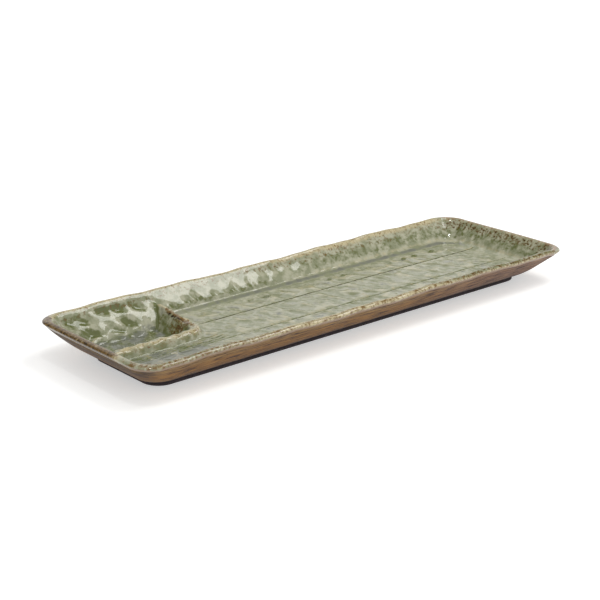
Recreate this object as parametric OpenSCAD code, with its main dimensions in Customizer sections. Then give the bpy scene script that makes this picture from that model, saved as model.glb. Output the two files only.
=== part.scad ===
// Long stoneware olive dish: a flared tray on a foot ring, with a pit well in its back left corner.
// X runs along the dish, Y across it and Z up. The origin lies on the table, under the dish's middle.
// Every coat of glaze is its own solid on the clay that carries it.

/* [Overall] */
// Length over the rim
dish_l = 300; // [240:1:360]
// Width over the rim
dish_w = 96; // [88:1:120]
// Height of the rim's top above the table
dish_h = 21; // [19:0.5:26]

/* [Rim and wall] */
// Width of the rounded rim
rim_w = 5; // [4:0.5:7]
// Drop from the rim's top to its two edges
rim_drop = 1.5; // [1:0.1:2.5]
// Plan radius of the rim's outer corners
rim_corner_r = 12; // [10:1:20]
// How far the rim overhangs the foot
flare = 19; // [16:0.5:21]
// Curve of the outer wall: 1 is straight, more is rounder
wall_curve = 1.5; // [1.2:0.1:1.8]
// Slope of the inner wall, in degrees from level
wall_slope = 52; // [48:1:60]

/* [Bed] */
// Thickness of the clay floor
floor_t = 5.7; // [5:0.1:8]
// Radius of the fillet between the bed and the inner wall
bed_fillet_r = 10; // [6:0.5:12]
// Plan radius of the bed's corners
bed_corner_r = 9; // [7:0.5:12]
// Distance between the two lines incised along the bed
line_gap = 26; // [16:1:34]
// Width of an incised line
line_w = 1; // [0.5:0.1:2]
// Depth of an incised line in the glaze
line_depth = 0.3; // [0.1:0.05:0.35]
// Gap between the end of an incised line and the bed's fillet
line_end_gap = 2; // [1:0.5:10]

/* [Foot] */
// Height of the foot ring
foot_h = 2; // [1.5:0.1:4]
// Width of the foot ring's standing face
foot_w = 6; // [4:0.5:9]
// Plan radius of the foot's outer corners
foot_corner_r = 10; // [10:1:18]
// Upright step of the body above the foot ring
base_step = 1; // [0.5:0.1:2]

/* [Pit well] */
// Length of the well's mouth along the dish
well_l = 42; // [36:1:60]
// Width of the well's mouth across the dish
well_w = 22.5; // [20:0.5:28]
// Depth of the well below the bed
well_depth = 2.8; // [2:0.1:3.5]
// Slope of the well's side at its mouth, in degrees from level
well_slope = 45; // [40:1:60]
// Flat margin round the well's mouth, to the bed's fillet and the divider
well_margin = 1; // [0.9:0.1:3]

/* [Divider] */
// Height of the divider above the bed
divider_h = 4; // [3:0.1:6]
// Width of the divider's crest
crest_w = 4; // [3:0.5:6]
// Slope of the divider's tray side, in degrees from level
divider_slope = 65; // [55:1:80]
// Plan radius of the divider's turn, at its well side
divider_turn_r = 2; // [1.5:0.5:6]

/* [Glaze] */
// Thickness of the coats of glaze
coat_t = 0.6; // [0.4:0.05:0.8]

/* [Hidden] */

clay_colour = "#4a3a38";
celadon_colour = "#a3a98e";
pool_colour = "#86907c";
break_colour = "#7a6a45";
wash_colour = "#8a6a4a";

// Steps along each curve of a section, and round a corner in plan
corner_steps = 6;
wall_steps = 7;
rim_steps = 6;
fillet_steps = 5;
well_steps = 4;
$fn = 64;

// Levels, from the table up
base_z = foot_h + base_step;
bed_z = foot_h + floor_t + coat_t;
edge_z = dish_h - rim_drop;

// Inset from the rim's outer edge at which the bed becomes flat
bed_inset = rim_w + (edge_z - bed_z) / tan(wall_slope) + bed_fillet_r * tan(wall_slope / 2);

// Inset from the rim's outer edge to the bare clay of the foot
foot_inset = flare + coat_t;

// Mouth of the well, against the bed's back left corner
well_left = bed_inset + well_margin - dish_l / 2;
well_right = well_left + well_l;
well_back = dish_w / 2 - bed_inset - well_margin;
well_front = well_back - well_w;
well_run = 2 * well_depth / tan(well_slope);

// Well side of the divider, the axis of its turn, and the width of its foot
divider_x = well_right + well_margin;
divider_y = well_front - well_margin;
turn_x = divider_x - divider_turn_r;
turn_y = divider_y + divider_turn_r;
divider_w = divider_h / tan(well_slope) + crest_w + divider_h / tan(divider_slope);

// How far cutting solids reach past what they cut
overrun = 1;

// A section is a list of [inset from the rim's outer edge, height, corner radius].
// Depth is how far it lies under the finished surface: 0 is the glaze, coat_t is the clay.

// Outside of the wall, from the foot up to the rim's outer edge
function outer_section(depth) = [
    for (i = [0 : wall_steps])
        let (t = i / wall_steps)
        [flare * (1 - t) + depth,
         base_z + (edge_z - base_z) * pow(t, wall_curve),
         rim_corner_r + (foot_corner_r - rim_corner_r) * (1 - t)]
];

// Plan radius of a corner of the bowl at a finished inset
function bowl_r(inset) = rim_corner_r + (bed_corner_r - rim_corner_r) * inset / bed_inset;

// Half ellipse over the rim, from its outer to its inner edge
function rim_section(depth) =
    let (first = depth, last = rim_w - depth / sin(wall_slope))
    [
        for (i = [0 : rim_steps])
            let (a = 180 * i / rim_steps)
            [(first + last - (last - first) * cos(a)) / 2,
             edge_z + (rim_drop - depth) * sin(a),
             bowl_r(rim_w * i / rim_steps)]
    ];

// Inner wall and its fillet, from the rim's inner edge down to the flat bed
function bowl_section(depth) = concat(
    [[rim_w - depth / sin(wall_slope), edge_z, bowl_r(rim_w)]],
    [
        for (i = [0 : fillet_steps])
            let (a = wall_slope * (1 - i / fillet_steps))
            [bed_inset - (bed_fillet_r + depth) * sin(a),
             bed_z + bed_fillet_r - (bed_fillet_r + depth) * cos(a),
             bowl_r(bed_inset - bed_fillet_r * sin(a))]
    ]
);

// Side of the well, from its mouth down to its floor, with insets from the mouth
function well_section(depth) = [
    for (i = [0 : well_steps])
        let (u = i / well_steps)
        [well_run * u - depth,
         bed_z - depth - well_depth * (1 - pow(1 - u, 2)),
         bed_corner_r - well_run * u / 2]
];

// Section of the divider as [distance from the axis of its turn, height], run on below its foot
function divider_section(depth) =
    let (
        foot_z = bed_z - depth - overrun,
        crest_z = bed_z + divider_h - depth,
        well_foot = divider_turn_r + depth * tan(well_slope / 2) - overrun / tan(well_slope),
        tray_foot = divider_turn_r + divider_w - depth * tan(divider_slope / 2) + overrun / tan(divider_slope),
        rise = crest_z - foot_z
    )
    [
        [well_foot, foot_z],
        [well_foot + rise / tan(well_slope), crest_z],
        [tray_foot - rise / tan(divider_slope), crest_z],
        [tray_foot, foot_z]
    ];

// Path of the divider along the dish, from past the left wall round its turn
side_path = concat(
    [[-dish_l / 2, turn_y, -90]],
    [for (i = [0 : corner_steps]) [turn_x, turn_y, -90 * (1 - i / corner_steps)]]
);

// Path of the divider across the dish, from its turn to past the back wall
cross_path = [[turn_x, turn_y, 0], [turn_x, dish_w / 2, 0]];
divider_path = concat(side_path, without_first(cross_path));

function reversed(list) = [for (i = [len(list) - 1 : -1 : 0]) list[i]];
function without_first(list) = [for (i = [1 : len(list) - 1]) list[i]];

// Corners of a rounded rectangle at one height
function outline(half_l, half_w, r, z) = [
    for (quarter = [0 : 3], step = [0 : corner_steps])
        let (
            a = 90 * (quarter + step / corner_steps),
            side_x = quarter == 0 || quarter == 3 ? 1 : -1,
            side_y = quarter < 2 ? 1 : -1
        )
        [side_x * (half_l - r) + r * cos(a), side_y * (half_w - r) + r * sin(a), z]
];

// Solid skin through a section carried round a rounded rectangle of length l and width w.
// A looped section closes on itself, and any other is closed by a flat face at each end.
module carried(section, l, w, looped = false) {
    n = 4 * (corner_steps + 1);
    m = len(section);
    rings = [for (p = section) outline(l / 2 - p[0], w / 2 - p[0], p[2], p[1])];
    sides = [
        for (i = [0 : looped ? m - 1 : m - 2], j = [0 : n - 1])
            let (
                low = i * n,
                high = (i + 1) % m * n,
                next = (j + 1) % n
            )
            each [[low + j, high + j, high + next], [low + j, high + next, low + next]]
    ];
    ends = [
        [for (j = [0 : n - 1]) j],
        [for (j = [n - 1 : -1 : 0]) (m - 1) * n + j]
    ];
    polyhedron([for (ring = rings) each ring], looped ? sides : concat(sides, ends));
}

// Room inside the bowl, down to a depth under its finished surface
module bowl_room(depth) {
    carried(reversed(bowl_section(depth)), dish_l, dish_w);
}

// Place of the well's middle
module at_well() {
    translate([(well_left + well_right) / 2, (well_front + well_back) / 2, 0]) children();
}

// Room of the well and its coat, open above the bed
module well_room() {
    mouth = well_section(0)[0];
    section = concat(
        reversed(well_section(coat_t)),
        [mouth, [mouth[0], mouth[1] + overrun, mouth[2]]]
    );
    at_well() carried(section, well_l, well_w);
}

// Solid divider of four corners along a path of [x, y, heading away from the well].
// Its sides are carried on below its foot, for the bowl to trim.
module divider_bar(path, depth) {
    section = divider_section(depth);
    n = len(section);
    m = len(path);
    points = [
        for (stop = path, corner = section)
            [stop[0] + corner[0] * cos(stop[2]), stop[1] + corner[0] * sin(stop[2]), corner[1]]
    ];
    sides = [
        for (i = [0 : m - 2], j = [0 : n - 1])
            let (
                near = i * n,
                far = near + n,
                next = (j + 1) % n
            )
            each [[near + j, far + next, near + next], [near + j, far + j, far + next]]
    ];
    ends = [
        [for (j = [0 : n - 1]) j],
        [for (j = [n - 1 : -1 : 0]) (m - 1) * n + j]
    ];
    polyhedron(points, concat(sides, ends));
}

// Line incised along the bed, from a place on it to its right end
module incised_line(y, from_x) {
    to_x = dish_l / 2 - bed_inset - line_end_gap;
    translate([from_x, y - line_w / 2, bed_z - line_depth])
        cube([to_x - from_x, line_w, line_depth + overrun]);
}

// Plan of the foot, with exact round corners
module foot_plan(inset, r) {
    half_l = dish_l / 2 - inset;
    half_w = dish_w / 2 - inset;
    square([2 * half_l, 2 * (half_w - r)], center = true);
    square([2 * (half_l - r), 2 * half_w], center = true);
    for (x = [-1, 1], y = [-1, 1])
        translate([x * (half_l - r), y * (half_w - r)]) circle(r);
}

module tray_body() {
    foot_point = [foot_inset, foot_h, foot_corner_r];
    section = concat(
        [foot_point],
        outer_section(coat_t),
        without_first(rim_section(coat_t)),
        without_first(bowl_section(coat_t))
    );
    color(clay_colour)
        difference() {
            carried(section, dish_l, dish_w);
            well_room();
        }
}

module foot_ring() {
    color(clay_colour)
        linear_extrude(foot_h)
            difference() {
                foot_plan(foot_inset, foot_corner_r);
                foot_plan(foot_inset + foot_w, foot_corner_r - foot_w);
            }
}

module well_cross_wall() {
    color(clay_colour)
        intersection() {
            divider_bar(cross_path, coat_t);
            bowl_room(coat_t);
        }
}

module well_side_wall() {
    color(clay_colour)
        intersection() {
            divider_bar(side_path, coat_t);
            bowl_room(coat_t);
        }
}

module tray_glaze() {
    section = concat(reversed(bowl_section(coat_t)), bowl_section(0));
    color(celadon_colour)
        difference() {
            carried(section, dish_l, dish_w);
            well_room();
            divider_bar(divider_path, coat_t);
            incised_line(line_gap / 2, divider_x + divider_w + line_end_gap);
            incised_line(-line_gap / 2, bed_inset + line_end_gap - dish_l / 2);
        }
}

module well_glaze() {
    section = concat(reversed(well_section(coat_t)), well_section(0));
    color(pool_colour)
        at_well() carried(section, well_l, well_w);
}

module divider_glaze() {
    color(celadon_colour)
        difference() {
            intersection() {
                divider_bar(divider_path, 0);
                bowl_room(0);
            }
            divider_bar(divider_path, coat_t);
        }
}

module rim_glaze() {
    color(break_colour)
        carried(concat(rim_section(0), reversed(rim_section(coat_t))), dish_l, dish_w, looped = true);
}

module outer_glaze() {
    color(wash_colour)
        carried(concat(outer_section(0), reversed(outer_section(coat_t))), dish_l, dish_w, looped = true);
}

tray_body();
foot_ring();
well_cross_wall();
well_side_wall();
tray_glaze();
well_glaze();
divider_glaze();
rim_glaze();
outer_glaze();
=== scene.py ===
"""Looks of a hammered stoneware olive dish: coats of glaze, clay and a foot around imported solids."""

import logging
import math
from dataclasses import dataclass, field
from enum import Enum
from functools import reduce
from typing import Any, Iterator, Optional

import bpy
import numpy as np
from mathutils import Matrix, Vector


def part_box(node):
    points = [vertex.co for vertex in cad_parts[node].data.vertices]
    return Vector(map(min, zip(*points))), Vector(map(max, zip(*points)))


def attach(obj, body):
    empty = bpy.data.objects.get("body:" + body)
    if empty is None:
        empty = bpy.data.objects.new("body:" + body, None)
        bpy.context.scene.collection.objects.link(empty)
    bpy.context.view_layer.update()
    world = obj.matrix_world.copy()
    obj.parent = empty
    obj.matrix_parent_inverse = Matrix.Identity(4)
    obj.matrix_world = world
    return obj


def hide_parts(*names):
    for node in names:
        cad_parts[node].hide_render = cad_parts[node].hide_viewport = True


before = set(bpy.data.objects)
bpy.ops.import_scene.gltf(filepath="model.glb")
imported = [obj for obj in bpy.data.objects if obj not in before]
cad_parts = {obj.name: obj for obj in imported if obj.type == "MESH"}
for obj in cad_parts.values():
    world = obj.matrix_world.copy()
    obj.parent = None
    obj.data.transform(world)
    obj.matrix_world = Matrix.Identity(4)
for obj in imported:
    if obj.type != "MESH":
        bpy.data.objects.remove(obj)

LOG = logging.getLogger("olive_dish")
MM = 0.001
ROOT_BODY = "root"
WASH_UV = "wash"
WHITE = (1.0, 1.0, 1.0, 1.0)
# Numbers of a mix node's sockets, for colours and for plain numbers
MIX_FIRST, MIX_SECOND, MIX_RESULT = 6, 7, 2
MIX_FIRST_NUMBER, MIX_SECOND_NUMBER = 2, 3
# Factors of the sine that gives each cell of a lattice its own share
CELL_HASH = (127.1, 311.7, 74.7)
CELL_HASH_SIZE = 43758.5453
# Numbers of samples in running sums
FALL_SAMPLES = 801
SIDE_SAMPLES = 2001
# Share of thin glaze for each unit of bend, and the most of it
THIN_PER_BEND = 1.2
MOST_RIDGE_THIN = 0.5
# Least divisors
TINY = 1e-9
LEAST_SPREAD = 1e-6

Grid = np.ndarray
Tree = bpy.types.NodeTree
Node = bpy.types.Node
Socket = bpy.types.NodeSocket
Material = bpy.types.Material
Mesh = bpy.types.Mesh


def linear(colour: str) -> tuple[float, float, float, float]:
    """Turns an sRGB hex colour into linear red, green, blue and alpha.

    Args:
        colour: six hex digits after a hash.

    Returns:
        The four linear values, with an alpha of 1.
    """
    shares = [int(colour[i:i + 2], 16) / 255 for i in (1, 3, 5)]
    red, green, blue = (s / 12.92 if s <= 0.04045 else ((s + 0.055) / 1.055) ** 2.4 for s in shares)
    return red, green, blue, 1.0


def smooth_step(low: float, high: float, value: Grid) -> Grid:
    """Rises from 0 at low to 1 at high, level at both ends.

    Args:
        low: value at which the rise starts.
        high: value at which it ends.
        value: the values to map.

    Returns:
        Values from 0 to 1, by 3 t squared less 2 t cubed.
    """
    t = np.clip((value - low) / (high - low), 0, 1)
    return t * t * (3 - 2 * t)


def smooth_max(a: Grid, b: Grid, blend: float) -> Grid:
    """The greater of two heights, with a fillet where they cross.

    Args:
        a: first height.
        b: second height.
        blend: difference in height under which the fillet works.

    Returns:
        The maximum, raised by a quarter of blend at most, by the square of the closeness.
    """
    near = np.maximum(blend - np.abs(a - b), 0) / blend
    return np.maximum(a, b) + near * near * blend / 4


def smooth_min(a: Grid, b: Grid, blend: float) -> Grid:
    """The lesser of two heights, with a rounded edge where they cross."""
    return -smooth_max(-a, -b, blend)


def bell(value: Grid, width: float) -> Grid:
    """A bell curve of height 1 at 0, by e to minus the square of value over width."""
    return np.exp(-(value / width) ** 2)


def greatest(*shares: Grid) -> Grid:
    """The greatest of several shares, point by point."""
    return reduce(np.maximum, shares)


def ridge_share(bend: Grid) -> Grid:
    """Share of thin glaze on ridges, in proportion to the surface's bend."""
    return np.clip(-bend * THIN_PER_BEND, 0, MOST_RIDGE_THIN)


@dataclass(frozen=True)
class Span:
    """A stretch of some measure over which a thing sets in or fades. It may run downwards."""

    low: float
    high: float

    def rise(self, value: Grid) -> Grid:
        """Rises from 0 at the stretch's start to 1 at its end."""
        return smooth_step(self.low, self.high, value)

    def fall(self, value: Grid) -> Grid:
        """Falls from 1 at the stretch's start to 0 at its end."""
        return 1 - self.rise(value)


@dataclass(frozen=True)
class Hump:
    """A place in some measure about which a thing is gathered, as a bell curve."""

    middle: float
    width: float

    def at(self, value: Grid) -> Grid:
        """Share from 0 to 1, which is 1 in the middle."""
        return bell(value - self.middle, self.width)


def running_fall(inset: Grid, insets: tuple[float, ...], slopes: tuple[float, ...]) -> Grid:
    """Fall of a wall whose slope changes evenly from place to place: the running sum of its tangent.

    Args:
        inset: places at which the fall is asked.
        insets: places at which the slope is given, in order.
        slopes: slopes there, in degrees from level.

    Returns:
        The fall from the first place.
    """
    fine = np.linspace(insets[0], insets[-1], FALL_SAMPLES)
    slope = np.tan(np.radians(np.interp(fine, insets, slopes)))
    fall = np.concatenate([[0.0], np.cumsum((slope[1:] + slope[:-1]) / 2)]) * (fine[1] - fine[0])
    return np.interp(inset, fine, fall)


def cell_share(i: Grid, j: Grid, seed: float) -> Grid:
    """A number from 0 to 1 for each cell of a lattice, always the same for one cell and seed.

    Args:
        i: whole-numbered place along the lattice.
        j: whole-numbered place across it.
        seed: picks one of many such sets of numbers.

    Returns:
        The fraction of a large sine of the place.
    """
    along, across, pick = CELL_HASH
    value = np.sin(i * along + j * across + seed * pick) * CELL_HASH_SIZE
    return value - np.floor(value)


def nearest_marks(
    along: Grid, across: Grid, jitter: float, seed: float, wrap: int = 0
) -> Iterator[tuple[Grid, Grid, Grid]]:
    """Offsets to the middles of the nine nearest cells of a staggered lattice whose cells are 1 by 1.

    Args:
        along: place along the rows, in cells.
        across: place across the rows, in cells.
        jitter: how far a middle strays from its cell's, in cells.
        seed: picks the strays.
        wrap: number of cells after which the rows repeat, or 0.

    Yields:
        For each of the nine, the offset along, the offset across and the cell's own share from 0 to 1.
    """
    for step_across in (-1, 0, 1):
        row = np.floor(across) + step_across
        stagger = 0.5 * np.mod(row, 2)
        for step_along in (-1, 0, 1):
            cell = np.floor(along - stagger) + step_along
            key = np.mod(cell, wrap) if wrap else cell
            stray_along = jitter * (cell_share(key, row, seed) - 0.5)
            stray_across = jitter * (cell_share(key, row, seed + 1) - 0.5)
            offset_along = along - cell - 0.5 - stagger - stray_along
            yield offset_along, across - row - 0.5 - stray_across, cell_share(key, row, seed + 2)


def hammer_marks(along: Grid, across: Grid, jitter: float, seed: float, ridge: float) -> Grid:
    """Height of a surface hammered all over, 0 in the middle of a mark and about 1 on the ridges between.

    It is the squared distance to the nearest mark's middle, as a soft minimum.

    Args:
        along: place along the rows of marks, in marks.
        across: place across the rows, in rows.
        jitter: how far a mark strays, in marks.
        seed: picks the strays.
        ridge: how sharp the ridges are.

    Returns:
        The height, from 0 to 1.
    """
    ridge_square = 0.3
    near = nearest_marks(along, across, jitter, seed)
    total = sum(np.exp(-ridge * (a ** 2 + b ** 2)) for a, b, _ in near)
    return np.clip(-np.log(total) / ridge / ridge_square, 0, 1)


def hammer_dents(
    along: Grid, across: Grid, size: tuple[float, float], jitter: float, seed: float, wrap: int
) -> Grid:
    """Depth of single dents, from 0 on the flats between them to about 1 in their middles, as bell curves.

    Args:
        along: place along the rows of dents, in dents.
        across: place across the rows, in rows.
        size: half width of a dent along and across.
        jitter: how far a dent strays.
        seed: picks the strays and the dents' depths.
        wrap: number of dents after which the rows repeat.

    Returns:
        The depth, from 0 to about 1.
    """
    least = 0.65
    total = np.zeros(np.broadcast_shapes(along.shape, across.shape))
    for a, b, share in nearest_marks(along, across, jitter, seed, wrap):
        total += (least + (1 - least) * share) * bell(np.hypot(a / size[0], b / size[1]), 1.0)
    return total


@dataclass(frozen=True)
class DishSizes:
    """Sizes of the finished dish in millimetres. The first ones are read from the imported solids."""

    length: float
    width: float
    height: float
    edge_z: float
    base_z: float
    foot_h: float
    foot_inset: float
    bed_z: float
    well_z: float
    crest_z: float
    coat: float = 0.6
    rim_w: float = 5.0
    rim_corner_r: float = 12.0
    wall_curve: float = 1.5
    wall_slope: float = 52.0
    bed_fillet_r: float = 10.0
    bed_corner_r: float = 9.0
    foot_w: float = 6.0
    foot_corner_r: float = 10.0
    line_y: float = 13.0
    turn_x: float = -89.4
    turn_y: float = 6.9
    well_foot: float = 2.0
    crest_mid: float = 8.0
    tray_foot: float = 11.9
    divider_slope: float = 65.0

    @classmethod
    def from_frame(cls) -> "DishSizes":
        """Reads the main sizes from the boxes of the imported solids.

        Returns:
            The sizes, with the others at their defaults.
        """
        coat = cls.coat
        rim_low, rim_high = (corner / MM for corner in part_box("rim_glaze"))
        foot_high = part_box("foot_ring")[1] / MM
        return cls(
            length=rim_high.x - rim_low.x,
            width=rim_high.y - rim_low.y,
            height=rim_high.z,
            edge_z=rim_low.z,
            base_z=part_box("outer_glaze")[0].z / MM,
            foot_h=foot_high.z,
            foot_inset=rim_high.x - foot_high.x,
            bed_z=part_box("tray_glaze")[0].z / MM + coat,
            well_z=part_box("well_glaze")[0].z / MM + coat,
            crest_z=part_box("divider_glaze")[1].z / MM,
        )

    @property
    def flare(self) -> float:
        """How far the rim overhangs the finished foot of the wall."""
        return self.foot_inset - self.coat

    @property
    def wall_rise(self) -> float:
        """Rise of the inner wall for each millimetre of run."""
        return math.tan(math.radians(self.wall_slope))

    @property
    def bed_inset(self) -> float:
        """Inset from the rim's outer edge at which the bed becomes flat."""
        fillet_run = self.bed_fillet_r * math.tan(math.radians(self.wall_slope / 2))
        return self.rim_w + (self.edge_z - self.bed_z) / self.wall_rise + fillet_run

    def bowl_r(self, inset: Grid) -> Grid:
        """Plan radius of the bowl's corners, in proportion from the rim's to the bed's."""
        return self.rim_corner_r + (self.bed_corner_r - self.rim_corner_r) * inset / self.bed_inset


@dataclass
class Sheet:
    """A grid of surface points in millimetres, with what the glaze does there."""

    points: Grid
    wraps: bool
    glaze: dict[str, Grid] = field(default_factory=dict)
    normals: Grid = field(init=False)

    def __post_init__(self) -> None:
        """Works out the normals from the points."""
        self.normals = self.grid_normals()

    @property
    def plan(self) -> tuple[Grid, Grid]:
        """Places of the points along and across the dish."""
        return self.points[..., 0], self.points[..., 1]

    def padded(self, values: Grid) -> Grid:
        """Values with the last column put before the first and the first after the last, on a loop."""
        return np.concatenate([values[:, -1:], values, values[:, :1]], 1) if self.wraps else values

    def grid_normals(self) -> Grid:
        """Unit normals: the cross product of the grid's slopes along its columns and its rows.

        Returns:
            An array of the points' shape.
        """
        points = self.padded(self.points)
        along = np.gradient(points, axis=1)
        across = np.gradient(points, axis=0)
        normals = np.cross(along, across)
        normals /= np.linalg.norm(normals, axis=2, keepdims=True)
        return normals[:, 1:-1] if self.wraps else normals

    def bend(self) -> Grid:
        """Mean bend of the surface per millimetre, above 0 in hollows and below 0 on ridges.

        Returns:
            The neighbours' mean offset along the normal, over half their mean squared distance.
        """
        points = self.padded(self.points)
        points = np.concatenate([points[:1], points, points[-1:]], 0)
        if not self.wraps:
            points = np.concatenate([points[:, :1], points, points[:, -1:]], 1)
        offsets = [
            points[:-2, 1:-1] - self.points,
            points[2:, 1:-1] - self.points,
            points[1:-1, :-2] - self.points,
            points[1:-1, 2:] - self.points,
        ]
        rise = sum((offset * self.normals).sum(2) for offset in offsets)
        spread = sum((offset ** 2).sum(2) for offset in offsets)
        return 2 * rise / np.maximum(spread, LEAST_SPREAD)


@dataclass(frozen=True)
class Perimeter:
    """Stations round a rounded rectangle, the same for every ring of the dish.

    A station is a place on the core rectangle, from -1 to 1 each way, and the heading away from it.
    """

    corner_cells: int = 17
    long_cells: int = 366
    short_cells: int = 86
    line_place: float = 0.58
    line_spread: float = 0.07
    line_density: float = 2.2

    @property
    def along(self) -> int:
        """Number of cells along a long side, with half of each corner."""
        return self.long_cells + 2 * self.corner_cells

    @property
    def across(self) -> int:
        """Number of cells along a short side, with half of each corner."""
        return self.short_cells + 2 * self.corner_cells

    def short_shares(self) -> Grid:
        """Places along a short side's straight stretch, closer together where the incised lines end.

        Returns:
            Shares of the stretch from 0 to under 1, by the running sum of the density.
        """
        fine = np.linspace(-1, 1, SIDE_SAMPLES)
        density = 1 + self.line_density * bell(np.abs(fine) - self.line_place, self.line_spread)
        share = np.cumsum(density) - density[0]
        return np.interp(np.arange(self.short_cells) / self.short_cells, share / share[-1], (fine + 1) / 2)

    def stations(self) -> tuple[Grid, Grid, Grid]:
        """Core places and headings, anticlockwise from the middle of the front left corner.

        Returns:
            Places along and across the core rectangle, and headings in radians.
        """
        corners = np.array([[-1, -1], [1, -1], [1, 1], [-1, 1]], float)
        arc = np.radians(np.linspace(0, 45, self.corner_cells, endpoint=False))
        straight = (np.arange(self.long_cells) / self.long_cells, self.short_shares())
        cores, headings = [], []
        for side in range(4):
            first = corners[side]
            last = corners[(side + 1) % 4]
            heading = np.radians(90 * side - 90)
            share = straight[side % 2][:, None]
            first_corner, last_corner = (np.tile(corner, (len(arc), 1)) for corner in (first, last))
            cores += [first_corner, first + (last - first) * share, last_corner]
            headings += [heading + arc - np.radians(45), np.full(len(share), heading), heading + arc]
        core = np.concatenate(cores)
        return core[:, 0], core[:, 1], np.concatenate(headings)

    def ring(self, half_l: Grid, half_w: Grid, r: Grid) -> Grid:
        """Points of rounded rectangles: a core place, plus the corner radius along the heading.

        Args:
            half_l: half length of each ring, as a column.
            half_w: half width of each ring, as a column.
            r: corner radius of each ring, as a column.

        Returns:
            Points in plan, with one row for each ring.
        """
        core_x, core_y, heading = self.stations()
        x = core_x * (half_l - r) + r * np.cos(heading)
        y = core_y * (half_w - r) + r * np.sin(heading)
        return np.stack([x, y], -1)

    def one_ring(self, half_l: float, half_w: float, r: float) -> Grid:
        """Points in plan of one rounded rectangle, from its half length, half width and corner radius."""
        return self.ring(*(np.array([[size]]) for size in (half_l, half_w, r)))[0]

    def filled(self, ring: Grid) -> Grid:
        """Grid over the inside of one ring, whose edge is the ring's own points.

        It is the blend of opposite sides, by share of length each way, less the blend of the four corners.

        Args:
            ring: points of one ring in plan.

        Returns:
            Points in plan, with rows along the dish and the first row at its front.
        """
        nx, ny = self.along, self.across
        closed = np.concatenate([ring, ring[:1]])
        front = closed[:nx + 1][None]
        right = closed[nx:nx + ny + 1][:, None]
        back = closed[nx + ny:2 * nx + ny + 1][::-1][None]
        left = closed[2 * nx + ny:][::-1][:, None]
        s = ((front[..., 0] - front[0, 0, 0]) / (front[0, -1, 0] - front[0, 0, 0]))[..., None]
        t = ((left[..., 1] - left[0, 0, 1]) / (left[-1, 0, 1] - left[0, 0, 1]))[..., None]
        sides = (1 - t) * front + t * back + (1 - s) * left + s * right
        near_corners = (1 - t) * ((1 - s) * front[:, :1] + s * front[:, -1:])
        far_corners = t * ((1 - s) * back[:, :1] + s * back[:, -1:])
        return sides - near_corners - far_corners


class Section(Enum):
    """Stretches of the wall's section, in order from the foot up, over the rim and down to the bed."""

    OUTSIDE = "outside"
    RIM = "rim"
    INSIDE = "inside"


@dataclass(frozen=True)
class RimWave:
    """The hand-made unevenness of the rim. A wave is its height, the place of a crest and its length."""

    waves: tuple[tuple[float, float, float], ...] = (
        (0.4, 74.0, 190.0),
        (0.28, -58.0, 47.0),
        (0.12, 0.0, 19.0),
    )
    twist: float = 0.08
    twist_run: tuple[float, float] = (60.0, 11.0)
    drop: float = 0.88

    def lift(self, x: Grid, y: Grid) -> Grid:
        """Lift of the rim over its plain level: cosines along the dish and a slanting sine, less a drop.

        Args:
            x: places along the dish.
            y: places across it.

        Returns:
            The lift, which is 0 at most.
        """
        lift = self.twist * np.sin(y / self.twist_run[1] + x / self.twist_run[0]) - self.drop
        for height, crest, length in self.waves:
            lift += height * np.cos(2 * math.pi * (x - crest) / length)
        return lift


@dataclass(frozen=True)
class IncisedLines:
    """The two lines along the tray and the fine scores in the channel beside the well."""

    half_w: float = 0.5
    depth: float = 0.34
    lip: Hump = Hump(-1.5, 0.7)
    lip_height: float = 0.14
    stray: float = 0.35
    stray_run: float = 31.0
    front_dark: float = 0.7
    divider_gap: float = 4.0
    past_bed: float = 6.0
    start: Span = Span(-3.0, 3.0)
    end: Span = Span(-4.0, 0.0)
    scores: tuple[float, ...] = (-5.6, -8.1, -10.6)
    score_half_w: float = 0.6
    score_depth: float = 0.45
    score_start: Span = Span(-140.0, -128.0)
    score_end: Span = Span(-4.0, 18.0)

    def marks(self, s: DishSizes, x: Grid, y: Grid) -> tuple[Grid, Grid]:
        """Grooves as bell curves across each line, with a low lip at the front of the two long ones.

        Args:
            s: the dish's sizes.
            x: places along the dish.
            y: places across it.

        Returns:
            Heights, and the grooves' darkness from 0 to 1.
        """
        height = np.zeros_like(x)
        dark = np.zeros_like(x)
        right_end = s.length / 2 - s.bed_inset + self.past_bed
        divider_end = s.turn_x + s.tray_foot
        starts = {s.line_y: divider_end + self.divider_gap, -s.line_y: s.bed_inset - s.length / 2}
        for line_y, start in starts.items():
            off = y - line_y - self.stray * np.sin(x / self.stray_run + line_y)
            here = self.start.rise(x - start) * self.end.fall(x - right_end)
            groove = bell(off, self.half_w) * here
            height += self.lip_height * self.lip.at(off) * here - self.depth * groove
            dark = np.maximum(dark, groove if line_y > 0 else self.front_dark * groove)
        channel = self.score_end.fall(x - divider_end) * self.score_start.rise(x)
        for score_y in self.scores:
            score = bell(y - score_y, self.score_half_w) * channel
            height -= self.score_depth * score
            dark = np.maximum(dark, score)
        return height, dark


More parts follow.
